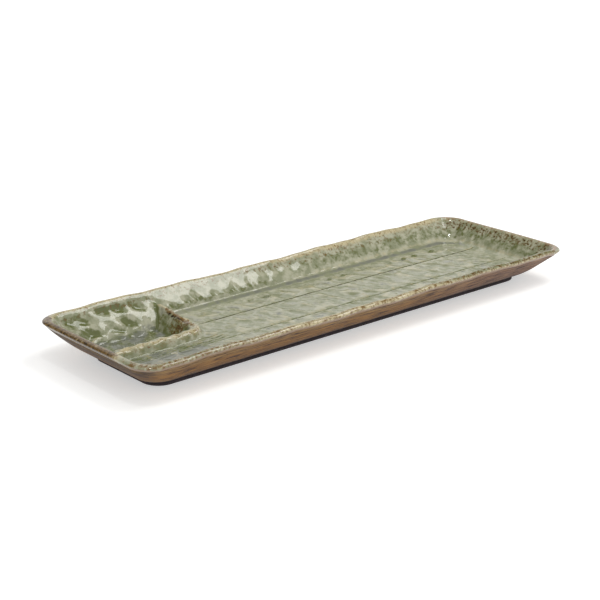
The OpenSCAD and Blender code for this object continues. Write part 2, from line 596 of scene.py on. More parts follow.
@dataclass(frozen=True)
class WallMarks:
    """Hammer dents of the inner wall: rows of petals round the well and halfway along the tray's wall, and
    open teeth low on the rest of the tray's wall.

    Dents' sizes and strays are in cells of their lattice, other lengths in millimetres.
    """

    petal_pitch: float = 11.4
    petal_row: float = 7.6
    petal_top: float = 3.4
    petal_size: tuple[float, float] = (0.4, 0.4)
    petal_stray: float = 0.36
    petal_patch: Hump = Hump(2.0, 22.0)
    tooth_pitch: float = 9.2
    tooth_size: tuple[float, float] = (0.24, 0.5)
    tooth_stray: float = 0.6
    tooth_top: float = 8.4
    tooth_waves: tuple[tuple[float, float], ...] = ((1.4, 5.3), (0.9, 2.1))
    tooth_rise: Span = Span(0.0, 2.6)
    seed: float = 3.0
    lean: float = 0.3
    lean_from: float = 10.0
    wall_top: Span = Span(0.0, 1.5)
    back_depth: float = 1.5
    back_foot: Span = Span(12.7, 13.7)
    plain: Span = Span(-30.0, 50.0)
    plain_share: float = 0.85
    end_depth: float = 0.5
    end: Span = Span(116.0, 134.0)
    end_foot: Span = Span(13.0, 17.0)
    well_depth: float = 2.3
    well_foot: Span = Span(0.3, 2.8)
    well_end: Span = Span(16.0, 18.3)
    face_start: Span = Span(-8.0, -2.0)
    face_top: Span = Span(9.0, 13.0)

    def dents(
        self, rim: Grid, s: DishSizes, place: tuple[Grid, Grid, Grid], above_floor: Grid, in_well: Grid
    ) -> tuple[Grid, Grid]:
        """Dents on a staggered lattice whose rows follow the way round the rim.

        Args:
            rim: points of the rim's outer edge in plan.
            s: the dish's sizes.
            place: places along and across the dish and insets from the rim's outer edge.
            above_floor: heights of the undented surface above the well's floor.
            in_well: share of the well's side of the divider.

        Returns:
            The dents' share from 0 on the flats to 1 in their middles, and their depth.
        """
        x, _, inset = place
        step = np.hypot(*(np.roll(rim, -1, 0) - rim).T)
        travel = (np.cumsum(step) - step[0])[None]
        turned = (travel + self.lean * (inset - self.lean_from)) / step.sum()
        one_row = np.full_like(turned, 0.5)
        petal_rows = (inset - self.petal_top) / self.petal_row
        petals, teeth = (
            hammer_dents(turned * count, rows, size, stray, self.seed, count)
            for count, rows, size, stray in (
                (round(step.sum() / self.petal_pitch), petal_rows, self.petal_size, self.petal_stray),
                (round(step.sum() / self.tooth_pitch), one_row, self.tooth_size, self.tooth_stray),
            )
        )
        tooth_top = self.tooth_top + sum(height * np.sin(travel / run) for height, run in self.tooth_waves)
        teeth = teeth * self.tooth_rise.rise(inset - tooth_top)
        petal_share = np.maximum(in_well, self.petal_patch.at(x))
        dents = petals * petal_share + teeth * (1 - petal_share)
        at_end = self.end.rise(np.abs(x)) * (1 - in_well)
        tray = self.back_depth * (1 - self.plain_share * self.plain.rise(x)) * self.back_foot.fall(inset)
        tray = tray + (self.end_depth * self.end_foot.fall(inset) - tray) * at_end
        on_face = self.face_start.rise(x - s.turn_x) * self.face_top.rise(inset)
        well = self.well_depth * self.well_foot.rise(above_floor) * (1 - on_face)
        well = well * self.well_end.fall(inset)
        depth = tray * (1 - in_well) + well * in_well
        return dents, depth * self.wall_top.rise(inset - s.rim_w)


@dataclass(frozen=True)
class DentRow:
    """A row of slanting dents along the dish, which stray and differ in strength.

    The stray along the row is in pitches, other lengths in millimetres.
    """

    pitch: float
    spread: float
    slant: float
    half_l: float
    half_w: float
    lip: Hump
    stray: float = 0.3
    weakest: float = 0.3
    seeds: tuple[float, float, float] = (21.0, 22.0, 23.0)

    def dents(self, x: Grid, across: Grid, row: Grid) -> tuple[Grid, Grid]:
        """Dents and the raised lips beside them, as bell curves about the nearest dent's middle.

        Args:
            x: places along the dish.
            across: offsets across from the row's middle.
            row: number of the row, which picks the strays.

        Returns:
            Shares of the dents and of their lips, from 0 to 1.
        """
        cell = np.floor(x / self.pitch)
        shift, sway, strong = (cell_share(cell, row, seed) for seed in self.seeds)
        along = x - (cell + 0.5) * self.pitch + self.stray * self.pitch * (shift - 0.5)
        out = across - self.spread * (sway - 0.5)
        beside = (self.weakest + (1 - self.weakest) * strong) * bell(along + self.slant * out, self.half_l)
        return beside * bell(out, self.half_w), beside * self.lip.at(out)


@dataclass(frozen=True)
class Hammering:
    """Marks all over a surface: their length and width in millimetres, how far they stray as a share of
    these, and the ridges' sharpness."""

    length: float
    width: float
    stray: float
    seed: float
    ridge: float

    def height(self, along: Grid, across: Grid) -> Grid:
        """Height from 0 in the marks to 1 on the ridges between."""
        return hammer_marks(along / self.length, across / self.width, self.stray, self.seed, self.ridge)


@dataclass
class BedRelief:
    """Marks on the bed, as shares from 0 to 1, and the height that they make together."""

    strokes: Grid
    dents: Grid
    smudges: Grid
    lips: Grid
    nicks: Grid
    well: Grid
    height: Grid


@dataclass(frozen=True)
class BedMarks:
    """Strokes across the bed, dents by the long walls and along the middle, and hammer marks on the divider
    and in the well."""

    strokes: Hammering = Hammering(6.6, 10.0, 0.8, 11.0, 7.0)
    stroke_slant: float = 0.297
    stroke_depth: float = 0.58
    line_clear_w: float = 1.6
    side_row: DentRow = DentRow(11.5, 1.4, -0.5, 3.9, 2.2, Hump(-3.2, 1.3))
    side_y: float = 25.2
    side_edge: Span = Span(0.0, 1.5)
    side_depth: float = 0.6
    middle_row: DentRow = DentRow(14.5, 7.0, 0.9, 3.4, 2.0, Hump(-3.0, 1.2))
    middle_y: float = -2.0
    middle_depth: float = 0.4
    nicks: Hammering = Hammering(6.6, 4.6, 0.5, 31.0, 10.0)
    nick_shift: float = 1.38
    nick_level: float = 0.6
    crest: Hump = Hump(0.6, 3.4)
    well: Hammering = Hammering(9.0, 8.0, 0.6, 41.0, 8.0)
    mean_level: float = 0.5
    edge: Span = Span(0.0, 3.0)
    tray: Span = Span(0.0, 3.0)

    def relief(
        self, s: DishSizes, place: tuple[Grid, Grid, Grid], distance: Grid, in_well: Grid
    ) -> BedRelief:
        """The bed's marks, which fade towards its edge, the lines and the divider's foot.

        Args:
            s: the dish's sizes.
            place: places along and across the dish and distances from the bed's edge.
            distance: distances from the axis of the divider's turn.
            in_well: share of the well's side of the divider.

        Returns:
            The marks.
        """
        x, y, edge = place
        in_edge = self.edge.rise(edge)
        off_lines = 1 - bell(np.abs(y) - s.line_y, self.line_clear_w)
        on_tray = self.tray.rise(distance - s.tray_foot)
        strokes = self.strokes.height(x + self.stroke_slant * y, y)
        at_side = on_tray * self.side_edge.rise(edge)
        side_row = self.side_row.dents(x, np.abs(y) - self.side_y, np.sign(y))
        dents, dent_lips = (at_side * share for share in side_row)
        middle_row = self.middle_row.dents(x, y - self.middle_y, np.zeros_like(y))
        smudges, smudge_lips = (on_tray * in_edge * share for share in middle_row)
        crest = self.crest.at(distance - s.crest_mid)
        path = np.where(y > s.turn_y, y - s.turn_y, x - s.turn_x)
        nicks = self.nicks.height(path, distance + self.nick_shift)
        well = self.well.height(x, y)
        height = (
            self.stroke_depth * (strokes - self.mean_level) * in_edge * on_tray * off_lines
            - self.side_depth * dents
            - self.middle_depth * smudges
            + (nicks - self.nick_level) * crest * in_edge
            + (well - self.mean_level) * in_well * (1 - crest) * in_edge
        )
        return BedRelief(strokes, dents, smudges, np.maximum(dent_lips, smudge_lips), nicks, well, height)


@dataclass
class DishSurface:
    """The dish's finished surface, with its hammer marks, lines, divider, well and hand-made waves.

    Lengths are in millimetres and slopes in degrees. An inset is the distance in plan from the rim's edge.
    """

    sizes: DishSizes
    perimeter: Perimeter = field(default_factory=Perimeter)
    rim_wave: RimWave = RimWave()
    lines: IncisedLines = IncisedLines()
    wall_marks: WallMarks = WallMarks()
    bed_marks: BedMarks = BedMarks()
    outside_steps: int = 14
    lip_steps: int = 7
    roll_steps: int = 6
    wall_steps: int = 12
    fillet_steps: int = 20
    fillet_crowding: float = 1.3
    wall_end: float = 12.2
    left_insets: tuple[float, ...] = (2.5, 4.1, 12.6, 13.0, 13.5, 13.7)
    left_slopes: tuple[float, ...] = (0.0, 37.0, 45.0, 72.0, 72.0, 27.0)
    right_insets: tuple[float, ...] = (2.5, 3.2, 3.8, 10.6, 12.6, 13.1)
    right_slopes: tuple[float, ...] = (0.0, 34.0, 52.0, 54.0, 52.0, 30.0)
    steepening: Span = Span(-15.0, 22.0)
    corner_softness: float = 0.05
    well_insets: tuple[float, ...] = (5.0, 10.0, 15.0, 22.0)
    well_slopes: tuple[float, ...] = (44.0, 43.0, 45.0, 60.0)
    well_fade: Span = Span(-3.0, 1.0)
    well_scallop: float = 0.6
    scallop_top: Span = Span(12.0, 17.0)
    floor_fall: Span = Span(-135.0, -97.0)
    left_floor_drop: float = 0.3
    right_floor_drop: float = 1.5
    face_rise: float = 1.7
    face_foot: float = 1.1
    crest_cover: float = 0.2
    crest_climb: float = 3.0
    climb: Span = Span(8.0, 34.0)
    crest_join: Span = Span(-1.0, 1.0)
    cross: Span = Span(-4.0, 6.0)
    face_round: float = 1.6
    crest_round: float = 2.2
    crease_round: float = 0.8
    floor_round: float = 1.4
    tray_round: float = 0.5
    face_start: Span = Span(-0.4, 0.6)
    face_lift: Span = Span(0.0, 1.0)
    crease_w: float = 2.4
    crease_lift: Span = Span(0.0, 1.2)
    ridge_height: float = 0.8
    ridge: Hump = Hump(-3.2, 1.5)
    ridge_lean: float = 0.25
    ridge_top: Span = Span(-1.0, 2.0)
    ridge_foot: Span = Span(11.0, 15.0)
    ridge_from_y: float = 30.0
    foot_wave_height: float = 0.08
    foot_wave_runs: tuple[float, float, float] = (4.7, 9.0, 1.7)
    foot_wave_sway: float = 1.5
    foot_wave_quick: float = 0.4
    foot_line: Hump = Hump(13.7, 0.8)
    wave_foot: float = 1.0
    strip: Sheet = field(init=False)
    bed: Sheet = field(init=False)
    strip_face: Grid = field(init=False)
    strip_crease: Grid = field(init=False)
    bed_face: Grid = field(init=False)
    bed_crease: Grid = field(init=False)
    wall_dents: Grid = field(init=False)
    wall_depth: Grid = field(init=False)
    bed_edge: Grid = field(init=False)
    bed_distance: Grid = field(init=False)
    relief: BedRelief = field(init=False)

    def __post_init__(self) -> None:
        """Works out the wall's strip and the bed's grid, and what the glaze does on them."""
        self.strip = self.make_strip()
        self.bed = self.make_bed()
        self.share_normals()
        self.strip.glaze = WallGlaze().shares(self)
        self.bed.glaze = BedGlaze().shares(self)

    @property
    def lip_w(self) -> float:
        """Width of the rim's rounded outer lip."""
        return self.left_insets[0]

    def rows(self, section: Section) -> slice:
        """Rows of the strip's cells that belong to a stretch.

        Args:
            section: the stretch. The rim's takes in the outside's top row, because its glaze laps over it.

        Returns:
            The rows.
        """
        first_rim = self.outside_steps - 1
        first_inside = self.outside_steps + self.lip_steps + self.roll_steps
        return {
            Section.OUTSIDE: slice(0, first_rim),
            Section.RIM: slice(first_rim, first_inside),
            Section.INSIDE: slice(first_inside, None),
        }[section]

    def inner_height(self, inset: Grid, x: Grid) -> Grid:
        """Height of the inside, which rolls over from the rim's top and falls to the level bed.

        The fall is the running sum of the slope's tangent, scaled to end on the bed. The wall's form to the
        left, with a long even slope, goes over into a straighter and steeper one to the right.

        Args:
            inset: insets from the rim's outer edge.
            x: places along the dish.

        Returns:
            The heights.
        """
        s = self.sizes
        shares = []
        left, right = (self.left_insets, self.left_slopes), (self.right_insets, self.right_slopes)
        for insets, slopes in (left, right):
            form = (insets + (s.bed_inset,), slopes + (0.0,))
            shares.append(running_fall(inset, *form) / running_fall(np.array(s.bed_inset), *form))
        to_right = self.steepening.rise(x)
        share = shares[0] * (1 - to_right) + shares[1] * to_right
        return s.height - (s.height - s.bed_z) * share

    def section(self) -> tuple[Grid, Grid, Grid]:
        """Section of the wall as insets from the rim's outer edge, heights and corner radii.

        The outside is a power curve, the rim's lip a quarter of an ellipse, the inside a running fall.

        Returns:
            Three columns, one row for each ring.
        """
        s = self.sizes
        up = np.linspace(0, 1, self.outside_steps + 1)[:-1]
        over = np.linspace(0, math.pi / 2, self.lip_steps + 1)[:-1]
        roll = np.linspace(self.lip_w, s.rim_w, self.roll_steps + 1)[:-1]
        wall = np.linspace(s.rim_w, self.wall_end, self.wall_steps + 1)[:-1]
        low_share = np.linspace(0, 1, self.fillet_steps + 1) ** self.fillet_crowding
        low = self.wall_end + (s.bed_inset - self.wall_end) * low_share
        inside = np.concatenate([roll, wall, low])
        inset = np.concatenate([s.flare * (1 - up), self.lip_w * (1 - np.cos(over)), inside])
        z = np.concatenate([
            s.base_z + (s.edge_z - s.base_z) * up ** s.wall_curve,
            s.edge_z + (s.height - s.edge_z) * np.sin(over),
            self.inner_height(inside, np.zeros_like(inside)),
        ])
        outside_r = s.rim_corner_r + (s.foot_corner_r - s.rim_corner_r) * (1 - up)
        r = np.concatenate([outside_r, s.bowl_r(inset[self.outside_steps:])])
        return inset[:, None], z[:, None], r[:, None]

    def reach(self, cosine: Grid, sine: Grid) -> Grid:
        """Distance from the rim for each millimetre of inset, which is greater round a corner.

        It is the sum of the sizes of the heading's cosine and sine, softened where a corner starts.

        Args:
            cosine: cosine of the heading.
            sine: sine of the heading.

        Returns:
            The distance, from the way the bowl's corner radius falls with the inset.
        """
        s = self.sizes
        soft = self.corner_softness
        turn = np.hypot(cosine, soft) + np.hypot(sine, soft) - math.hypot(1.0, soft) - soft
        shrink = (s.rim_corner_r - s.bed_corner_r) / s.bed_inset
        return 1 + (1 - shrink) * turn

    def divider_distance(self, x: Grid, y: Grid) -> Grid:
        """Distance from the axis of the divider's turn, and from the lines that run on from it.

        Args:
            x: places along the dish.
            y: places across it.

        Returns:
            The distances, below 0 in the well's back left part.
        """
        right = x - self.sizes.turn_x
        front = self.sizes.turn_y - y
        outside_turn = (right > 0) & (front > 0)
        return np.where(outside_turn, np.hypot(right, front), np.maximum(right, front))

    def in_well(self, x: Grid, y: Grid) -> Grid:
        """Share from 0 to 1 of the well's side of the divider's crest."""
        return self.well_fade.fall(self.divider_distance(x, y) - self.sizes.crest_mid)

    def well_floor(self, x: Grid) -> Grid:
        """Height of the well's floor, which sinks towards the divider."""
        to_right = self.floor_fall.rise(x)
        return self.sizes.well_z - self.left_floor_drop * (1 - to_right) - self.right_floor_drop * to_right

    def shaped(self, x: Grid, y: Grid, inset: Grid, bowl: Grid, reach: Grid) -> tuple[Grid, Grid, Grid]:
        """Height of the inside with its divider and well, before the hammer marks.

        The well is the greatest of its floor, its wall and the divider's slope. The tray is the greater of
        the bowl and the divider. The two meet on the divider's crest, which climbs towards the back wall.

        Args:
            x: places along the dish.
            y: places across it.
            inset: insets from the rim's outer edge.
            bowl: heights of the plain bowl.
            reach: distance from the rim for each millimetre of inset.

        Returns:
            The heights, and shares from 0 to 1 of the cross wall's face and of the crease beside it.
        """
        s = self.sizes
        d = self.divider_distance(x, y)
        crest = s.crest_z - s.bed_z - self.crest_cover + self.crest_climb * self.climb.rise(y)
        tray_side = (s.tray_foot - d) * math.tan(math.radians(s.divider_slope))
        well_side = self.face_rise * (d - s.well_foot - self.face_foot)
        climbing = smooth_min(well_side, crest, self.face_round)
        ridge = s.bed_z + smooth_min(climbing, tray_side, self.crest_round)
        top = self.inner_height(self.lip_w + (s.rim_w - self.lip_w) * reach, x)
        wall = top - running_fall(inset, self.well_insets, self.well_slopes)
        arcs = 2 * np.abs(np.sin(math.pi * (x - y) / self.wall_marks.petal_pitch)) - 1
        wall = wall + self.well_scallop * arcs * self.scallop_top.rise(inset)
        floor = self.well_floor(x)
        well = smooth_max(smooth_max(wall, ridge, self.crease_round), floor, self.floor_round)
        tray = smooth_max(bowl, ridge, self.tray_round)
        side = self.crest_join.rise(d - s.crest_mid)
        on_cross = self.cross.rise(y - s.turn_y) * (1 - side)
        face = self.face_start.rise(ridge - wall) * self.face_lift.rise(ridge - floor) * on_cross
        lift = np.maximum(wall, ridge) - floor
        crease = bell(ridge - wall, self.crease_w) * self.crease_lift.rise(lift) * on_cross
        return well * (1 - side) + tray * side, face, crease

    def make_strip(self) -> Sheet:
        """The strip of rings from the foot of the wall, over the rim and down to the bed.

        Returns:
            The sheet, whose columns go round the dish.
        """
        s = self.sizes
        inset, z, r = self.section()
        plan = self.perimeter.ring(s.length / 2 - inset, s.width / 2 - inset, r)
        x, y = plan[..., 0], plan[..., 1]
        heading = self.perimeter.stations()[2]
        reach = self.reach(np.cos(heading), np.sin(heading))
        inset = np.broadcast_to(inset, x.shape)
        plain = np.broadcast_to(z, x.shape).copy()
        rolled = slice(self.outside_steps + self.lip_steps, None)
        plain[rolled] = self.inner_height(self.lip_w + (inset[rolled] - self.lip_w) * reach, x[rolled])
        height = plain.copy()
        inside = self.rows(Section.INSIDE)
        place = (x[inside], y[inside], inset[inside])
        self.strip_face, self.strip_crease, self.wall_dents, self.wall_depth = np.zeros((4,) + x.shape)
        shaped = self.shaped(*place, height[inside], reach)
        height[inside], self.strip_face[inside], self.strip_crease[inside] = shaped
        above_floor = height[inside] - self.well_floor(x[inside])
        rim = self.perimeter.one_ring(s.length / 2, s.width / 2, s.rim_corner_r)
        marks = self.wall_marks.dents(rim, s, place, above_floor, self.in_well(*place[:2]))
        self.wall_dents[inside], self.wall_depth[inside] = marks
        height -= self.wall_depth * self.wall_dents
        height[inside] += self.lines.marks(s, *place[:2])[0] + self.wall_ridge(*place)
        height[inside] += self.foot_wave(x[inside], inset[inside])
        height += self.rim_wave.lift(x, y) * smooth_step(s.bed_z + self.wave_foot, s.edge_z, plain)
        return Sheet(np.stack([x, y, height], -1), wraps=True)

    def wall_ridge(self, x: Grid, y: Grid, inset: Grid) -> Grid:
        """The ridge that runs on from the divider's crest up the back wall, as a bell curve across it.

        Args:
            x: places along the dish.
            y: places across it.
            inset: insets from the rim's outer edge.

        Returns:
            Heights of the ridge.
        """
        s = self.sizes
        down = inset - s.rim_w
        on_wall = self.ridge_top.rise(down) * self.ridge_foot.fall(inset) * (y > self.ridge_from_y)
        off = x - s.turn_x - s.crest_mid - self.ridge_lean * down
        return self.ridge_height * self.ridge.at(off) * on_wall

    def foot_wave(self, x: Grid, inset: Grid) -> Grid:
        """Small uneven waves along the foot of the tray's wall, which break up its gleam, as two sines.

        Args:
            x: places along the dish.
            inset: insets from the rim's outer edge.

        Returns:
            Heights of the waves.
        """
        run, sway_run, quick_run = self.foot_wave_runs
        slow = np.sin(x / run + self.foot_wave_sway * np.sin(x / sway_run))
        waves = slow + self.foot_wave_quick * np.sin(x / quick_run)
        return self.foot_wave_height * waves * self.foot_line.at(inset)

    def make_bed(self) -> Sheet:
        """The bed's grid, with the divider, the well, the lines and soft hammer marks.

        Returns:
            The sheet, whose rows run along the dish from its front.
        """
        s = self.sizes
        half_l = s.length / 2 - s.bed_inset
        half_w = s.width / 2 - s.bed_inset
        r = s.bed_corner_r
        plan = self.perimeter.filled(self.perimeter.one_ring(half_l, half_w, r))
        x, y = plan[..., 0], plan[..., 1]
        past_x = np.abs(x) - half_l + r
        past_y = np.abs(y) - half_w + r
        straight = np.minimum(np.maximum(past_x, past_y), 0)
        past = np.hypot(np.maximum(past_x, 0), np.maximum(past_y, 0))
        self.bed_edge = r - past - straight
        in_corner = (past_x > 0) & (past_y > 0)
        cosine = np.where(in_corner, past_x / np.maximum(past, TINY), 1.0)
        sine = np.where(in_corner, past_y / np.maximum(past, TINY), 0.0)
        self.bed_distance = self.divider_distance(x, y)
        flat = np.full_like(x, s.bed_z)
        reach = self.reach(cosine, sine)
        height, self.bed_face, self.bed_crease = self.shaped(x, y, s.bed_inset + self.bed_edge, flat, reach)
        place = (x, y, self.bed_edge)
        self.relief = self.bed_marks.relief(s, place, self.bed_distance, self.in_well(x, y))
        height += self.lines.marks(s, x, y)[0] + self.relief.height
        return Sheet(np.stack([x, y, height], -1), wraps=False)

    def share_normals(self) -> None:
        """Gives the strip's last ring and the bed's edge the same normals, the mean of both."""
        nx, ny = self.perimeter.along, self.perimeter.across
        edge = self.bed.normals
        ring = np.concatenate([edge[0, :-1], edge[:-1, -1], edge[-1, :0:-1], edge[:0:-1, 0]])
        mean = ring + self.strip.normals[-1]
        mean /= np.linalg.norm(mean, axis=1, keepdims=True)
        self.strip.normals[-1] = mean
        edge[0] = mean[:nx + 1]
        edge[:, -1] = mean[nx:nx + ny + 1]
        edge[-1] = mean[nx + ny:2 * nx + ny + 1][::-1]
        edge[:, 0] = np.concatenate([mean[2 * nx + ny:], mean[:1]])[::-1]

    def strip_cells(self, section: Section) -> Grid:
        """Cells of the strip that belong to a stretch.

        Args:
            section: the stretch.

        Returns:
            A mask of the strip's cells.
        """
        rows, columns = self.strip.points.shape[:2]
        cells = np.zeros((rows - 1, columns), bool)
        cells[self.rows(section)] = True
        return cells

    def divider_cells(self) -> tuple[Grid, Grid]:
        """Cells of the bed in the well and on the divider.

        Returns:
            The two masks.
        """
        s = self.sizes
        middle = (self.bed_distance[:-1, :-1] + self.bed_distance[1:, 1:]) / 2
        in_well = middle < s.well_foot
        return in_well, ~in_well & (middle < s.tray_foot + s.coat)


@dataclass
class WallPlaces:
    """Where each point of the strip lies: its inset, its place over the rim in rim widths, and shares from
    0 to 1 of the places in which the glaze differs."""

    inset: Grid
    over: Grid
    in_well: Grid
    right: Grid
    back: Grid
    front: Grid
    front_left: Grid
    left_front: Grid
    to_right: Grid
    olive: Grid
    down: Grid
    left_band: Grid
    right_band: Grid


@dataclass(frozen=True)
class WallGlaze:
    """How the glaze lies on the wall and the rim: thick in hollows, thin on ridges, flecked near the rim.

    Spans and humps whose names start with rim are in rim widths, the hollow in shares of a dent's depth.
    The other spans and humps, a full dent and the flecks' reach are in millimetres. The rest are shares.
    """

    left: Span = Span(-136.0, -145.0)
    right: Span = Span(128.0, 142.0)
    back: Span = Span(36.0, 42.0)
    front: Span = Span(-30.0, -38.0)
    front_left: Span = Span(-110.0, -40.0)
    front_right: Span = Span(15.0, 80.0)
    left_front: Span = Span(-34.0, -20.0)
    to_right: Span = Span(-30.0, 40.0)
    down: Span = Span(2.6, 5.6)
    rim_olive: Span = Span(0.015, 0.06)
    rim_left_band: Span = Span(0.66, 0.86)
    rim_right_band: Span = Span(0.6, 0.9)
    right_band_foot: Span = Span(1.0, 8.0)
    full_dent: float = 0.7
    dent_thick: float = 0.6
    dent_thick_well: float = 0.4
    dent_thick_right: float = -0.1
    hollow: Span = Span(0.05, 0.3)
    hollow_thick: float = 0.26
    face_thick: float = 0.26
    foot_green: Hump = Hump(12.2, 1.6)
    foot_green_thick: float = 0.55
    wall_top: Span = Span(0.0, 2.0)
    patch_foot: Span = Span(10.5, 13.0)
    patch_thick: float = 0.42
    olive_thick: float = 0.45
    left_front_thick: float = 0.35
    right_band_thick: float = 0.36
    rim_thin: float = 0.5
    rim_edge: Hump = Hump(0.0, 0.18)
    rim_edge_thin: float = 0.2
    rim_inside: Hump = Hump(0.9, 0.3)
    rim_inside_thin: float = 0.1
    right_loss: float = 0.5
    front_left_loss: float = 0.42
    left_front_loss: float = 0.6
    olive_loss: float = 0.65
    # Painted highlight: a cream line along the foot of the wall to the right.
    foot_highlight: Hump = Hump(12.6, 1.2)
    foot_highlight_share: float = 0.3
    fleck: float = 0.3
    fleck_rim: float = 0.38
    fleck_front: float = 0.08
    fleck_front_left: float = 0.06
    fleck_right: float = 0.02
    fleck_foot: Span = Span(0.0, 5.0)
    fleck_reach: float = 1.5
    fleck_face: float = 0.2
    fleck_right_band: float = 0.78
    left_band_dark: float = 0.63
    right_band_dark: float = 0.55
    olive_dark: float = 0.5
    face_dark: float = 0.1
    rim_back_line: Hump = Hump(0.22, 0.1)
    back_line_dark: float = 0.85
    line_dark: float = 0.7
    # Grey band along the foot of the tray's wall: pooled glaze and a painted dark reflection.
    pool_and_reflection_start: Span = Span(13.2, 14.8)
    pool_and_reflection_end: Span = Span(16.4, 18.2)
    pool_and_reflection_left: float = 0.25
    pool_and_reflection_right: float = 0.3
    pool_and_reflection_grows: Span = Span(-90.0, -40.0)
    pool_and_reflection_stops: Span = Span(124.0, 133.0)
    pool_and_reflection_back: Span = Span(6.0, 26.0)
    well_pool: float = 0.2
    well_pool_start: Span = Span(15.0, 18.0)
    rim_bare: Span = Span(-0.2, 0.14)
    rim_right_bare: Hump = Hump(0.45, 0.35)
    right_bare: float = 0.6

    def places(self, surface: DishSurface) -> WallPlaces:
        """Works out where the strip's points lie.

        Args:
            surface: the dish's surface.

        Returns:
            The places.
        """
        s = surface.sizes
        x, y = surface.strip.plan
        inset, z, _ = (np.broadcast_to(column, x.shape) for column in surface.section())
        outside = (np.arange(len(x)) < surface.outside_steps)[:, None]
        over = np.where(outside, z - s.edge_z, inset) / s.rim_w
        in_well = surface.in_well(x, y)
        left, right, front = self.left.rise(x), self.right.rise(x), self.front.rise(y)
        left_front = left * self.left_front.fall(y)
        to_right = self.to_right.rise(x) * (1 - in_well)
        right_band = self.rim_right_band.rise(over) * self.right_band_foot.fall(inset - s.rim_w) * right
        return WallPlaces(
            inset=inset,
            over=over,
            in_well=in_well,
            right=right,
            back=self.back.rise(y) * (1 - left) * (1 - right),
            front=front,
            front_left=front * self.front_left.fall(x),
            left_front=left_front,
            to_right=to_right,
            olive=front * self.front_right.rise(x) * self.rim_olive.rise(over),
            down=self.down.fall(inset - to_right),
            left_band=self.rim_left_band.fall(over) * left * (1 - left_front),
            right_band=right_band,
        )

    def thick(self, p: WallPlaces, surface: DishSurface, lines: Grid) -> Grid:
        """Share of thick glaze: in the dents, the creases and the lines, and along the wall's foot.

        Args:
            p: where the points lie.
            surface: the dish's surface.
            lines: darkness of the incised lines.

        Returns:
            The share.
        """
        below_rim = self.wall_top.rise(p.inset - surface.sizes.rim_w)
        dents = np.clip(surface.wall_depth / self.full_dent, 0, 1) * surface.wall_dents
        in_dents = self.dent_thick + self.dent_thick_well * p.in_well + self.dent_thick_right * p.to_right
        return greatest(
            dents * in_dents,
            self.hollow_thick * self.hollow.rise(surface.wall_dents) * p.in_well * below_rim,
            self.face_thick * surface.strip_face,
            surface.strip_crease,
            self.foot_green_thick * (1 - p.to_right) * (1 - p.in_well) * self.foot_green.at(p.inset),
            self.patch_thick * p.to_right * below_rim * self.patch_foot.fall(p.inset),
            np.maximum(self.olive_thick * p.olive, self.left_front_thick * p.left_front) * p.down,
            self.right_band_thick * p.right_band,
            lines,
        )

    def thin_and_highlight(self, p: WallPlaces, bend: Grid) -> Grid:
        """Share of thin glaze: on the rim and the ridges, and as a cream line along the foot to the right,
        which is a painted highlight.

        Args:
            p: where the points lie.
            bend: bend of the surface.

        Returns:
            The share.
        """
        lip = self.rim_edge_thin * self.rim_edge.at(p.over)
        lip = lip + self.rim_inside_thin * self.rim_inside.at(p.over)
        loss = greatest(
            self.front_left_loss * p.front_left,
            self.left_front_loss * p.left_front,
            self.olive_loss * p.olive,
        )
        return greatest(
            ridge_share(bend) * (1 - p.down),
            p.down * (self.rim_thin + lip) * (1 - self.right_loss * p.right) * (1 - loss),
            # Painted highlight: a cream line along the foot of the wall to the right.
            self.foot_highlight_share * p.to_right * self.foot_highlight.at(p.inset),
        )

    def pool_and_reflection(self, p: WallPlaces, surface: DishSurface) -> Grid:
        """Share of pooled glaze, along the foot of the tray's wall and of the well's. Along the tray's wall
        it is also a painted dark reflection.

        Args:
            p: where the points lie.
            surface: the dish's surface.

        Returns:
            The share.
        """
        x, y = surface.strip.plan
        # Painted dark reflection, with pooled glaze, along the foot of the tray's wall.
        tray = self.pool_and_reflection_start.rise(p.inset) * self.pool_and_reflection_end.fall(p.inset) * (1 - p.in_well)
        tray = tray * (self.pool_and_reflection_left + self.pool_and_reflection_right * self.pool_and_reflection_grows.rise(x))
        tray = tray * (1 - self.pool_and_reflection_stops.rise(x) * self.pool_and_reflection_back.fall(y))
        well = self.well_pool * p.in_well * self.well_pool_start.rise(p.inset) * (1 - surface.strip_crease)
        return tray + well

    def shares(self, surface: DishSurface) -> dict[str, Grid]:
        """What the glaze does on the strip.

        Args:
            surface: the dish's surface.

        Returns:
            For each of the glaze's attributes, shares from 0 to 1.
        """
        p = self.places(surface)
        rim_w = surface.sizes.rim_w
        x, y = surface.strip.plan
        lines = surface.lines.marks(surface.sizes, x, y)[1]
        near_rim = self.fleck_foot.fall(p.inset - rim_w - self.fleck_reach * np.maximum(p.to_right, p.back))
        at_rim = self.fleck_rim + self.fleck_front * p.front
        at_rim = at_rim + self.fleck_front_left * p.front_left + self.fleck_right * p.to_right
        shares = {
            "thick": self.thick(p, surface, lines),
            "thin_and_highlight": self.thin_and_highlight(p, surface.strip.bend()),
            "fleck": greatest(
                self.fleck + at_rim * near_rim,
                self.fleck + self.fleck_face * surface.strip_face,
                p.left_band,
                self.fleck_right_band * p.right_band,
            ),
            "dark": greatest(
                self.left_band_dark * p.left_band,
                self.right_band_dark * p.right_band,
                self.olive_dark * p.olive * p.down,
                self.face_dark * surface.strip_face,
                self.back_line_dark * self.rim_back_line.at(p.over) * p.back,
                self.line_dark * lines,
            ),
            "pool_and_reflection": self.pool_and_reflection(p, surface),
            "bare": greatest(
                self.rim_bare.fall(p.over) * (1 - p.left_band),
                self.right_bare * self.rim_right_bare.at(p.over) * p.right,
            ),
        }
        return {name: np.clip(share, 0, 1) for name, share in shares.items()}


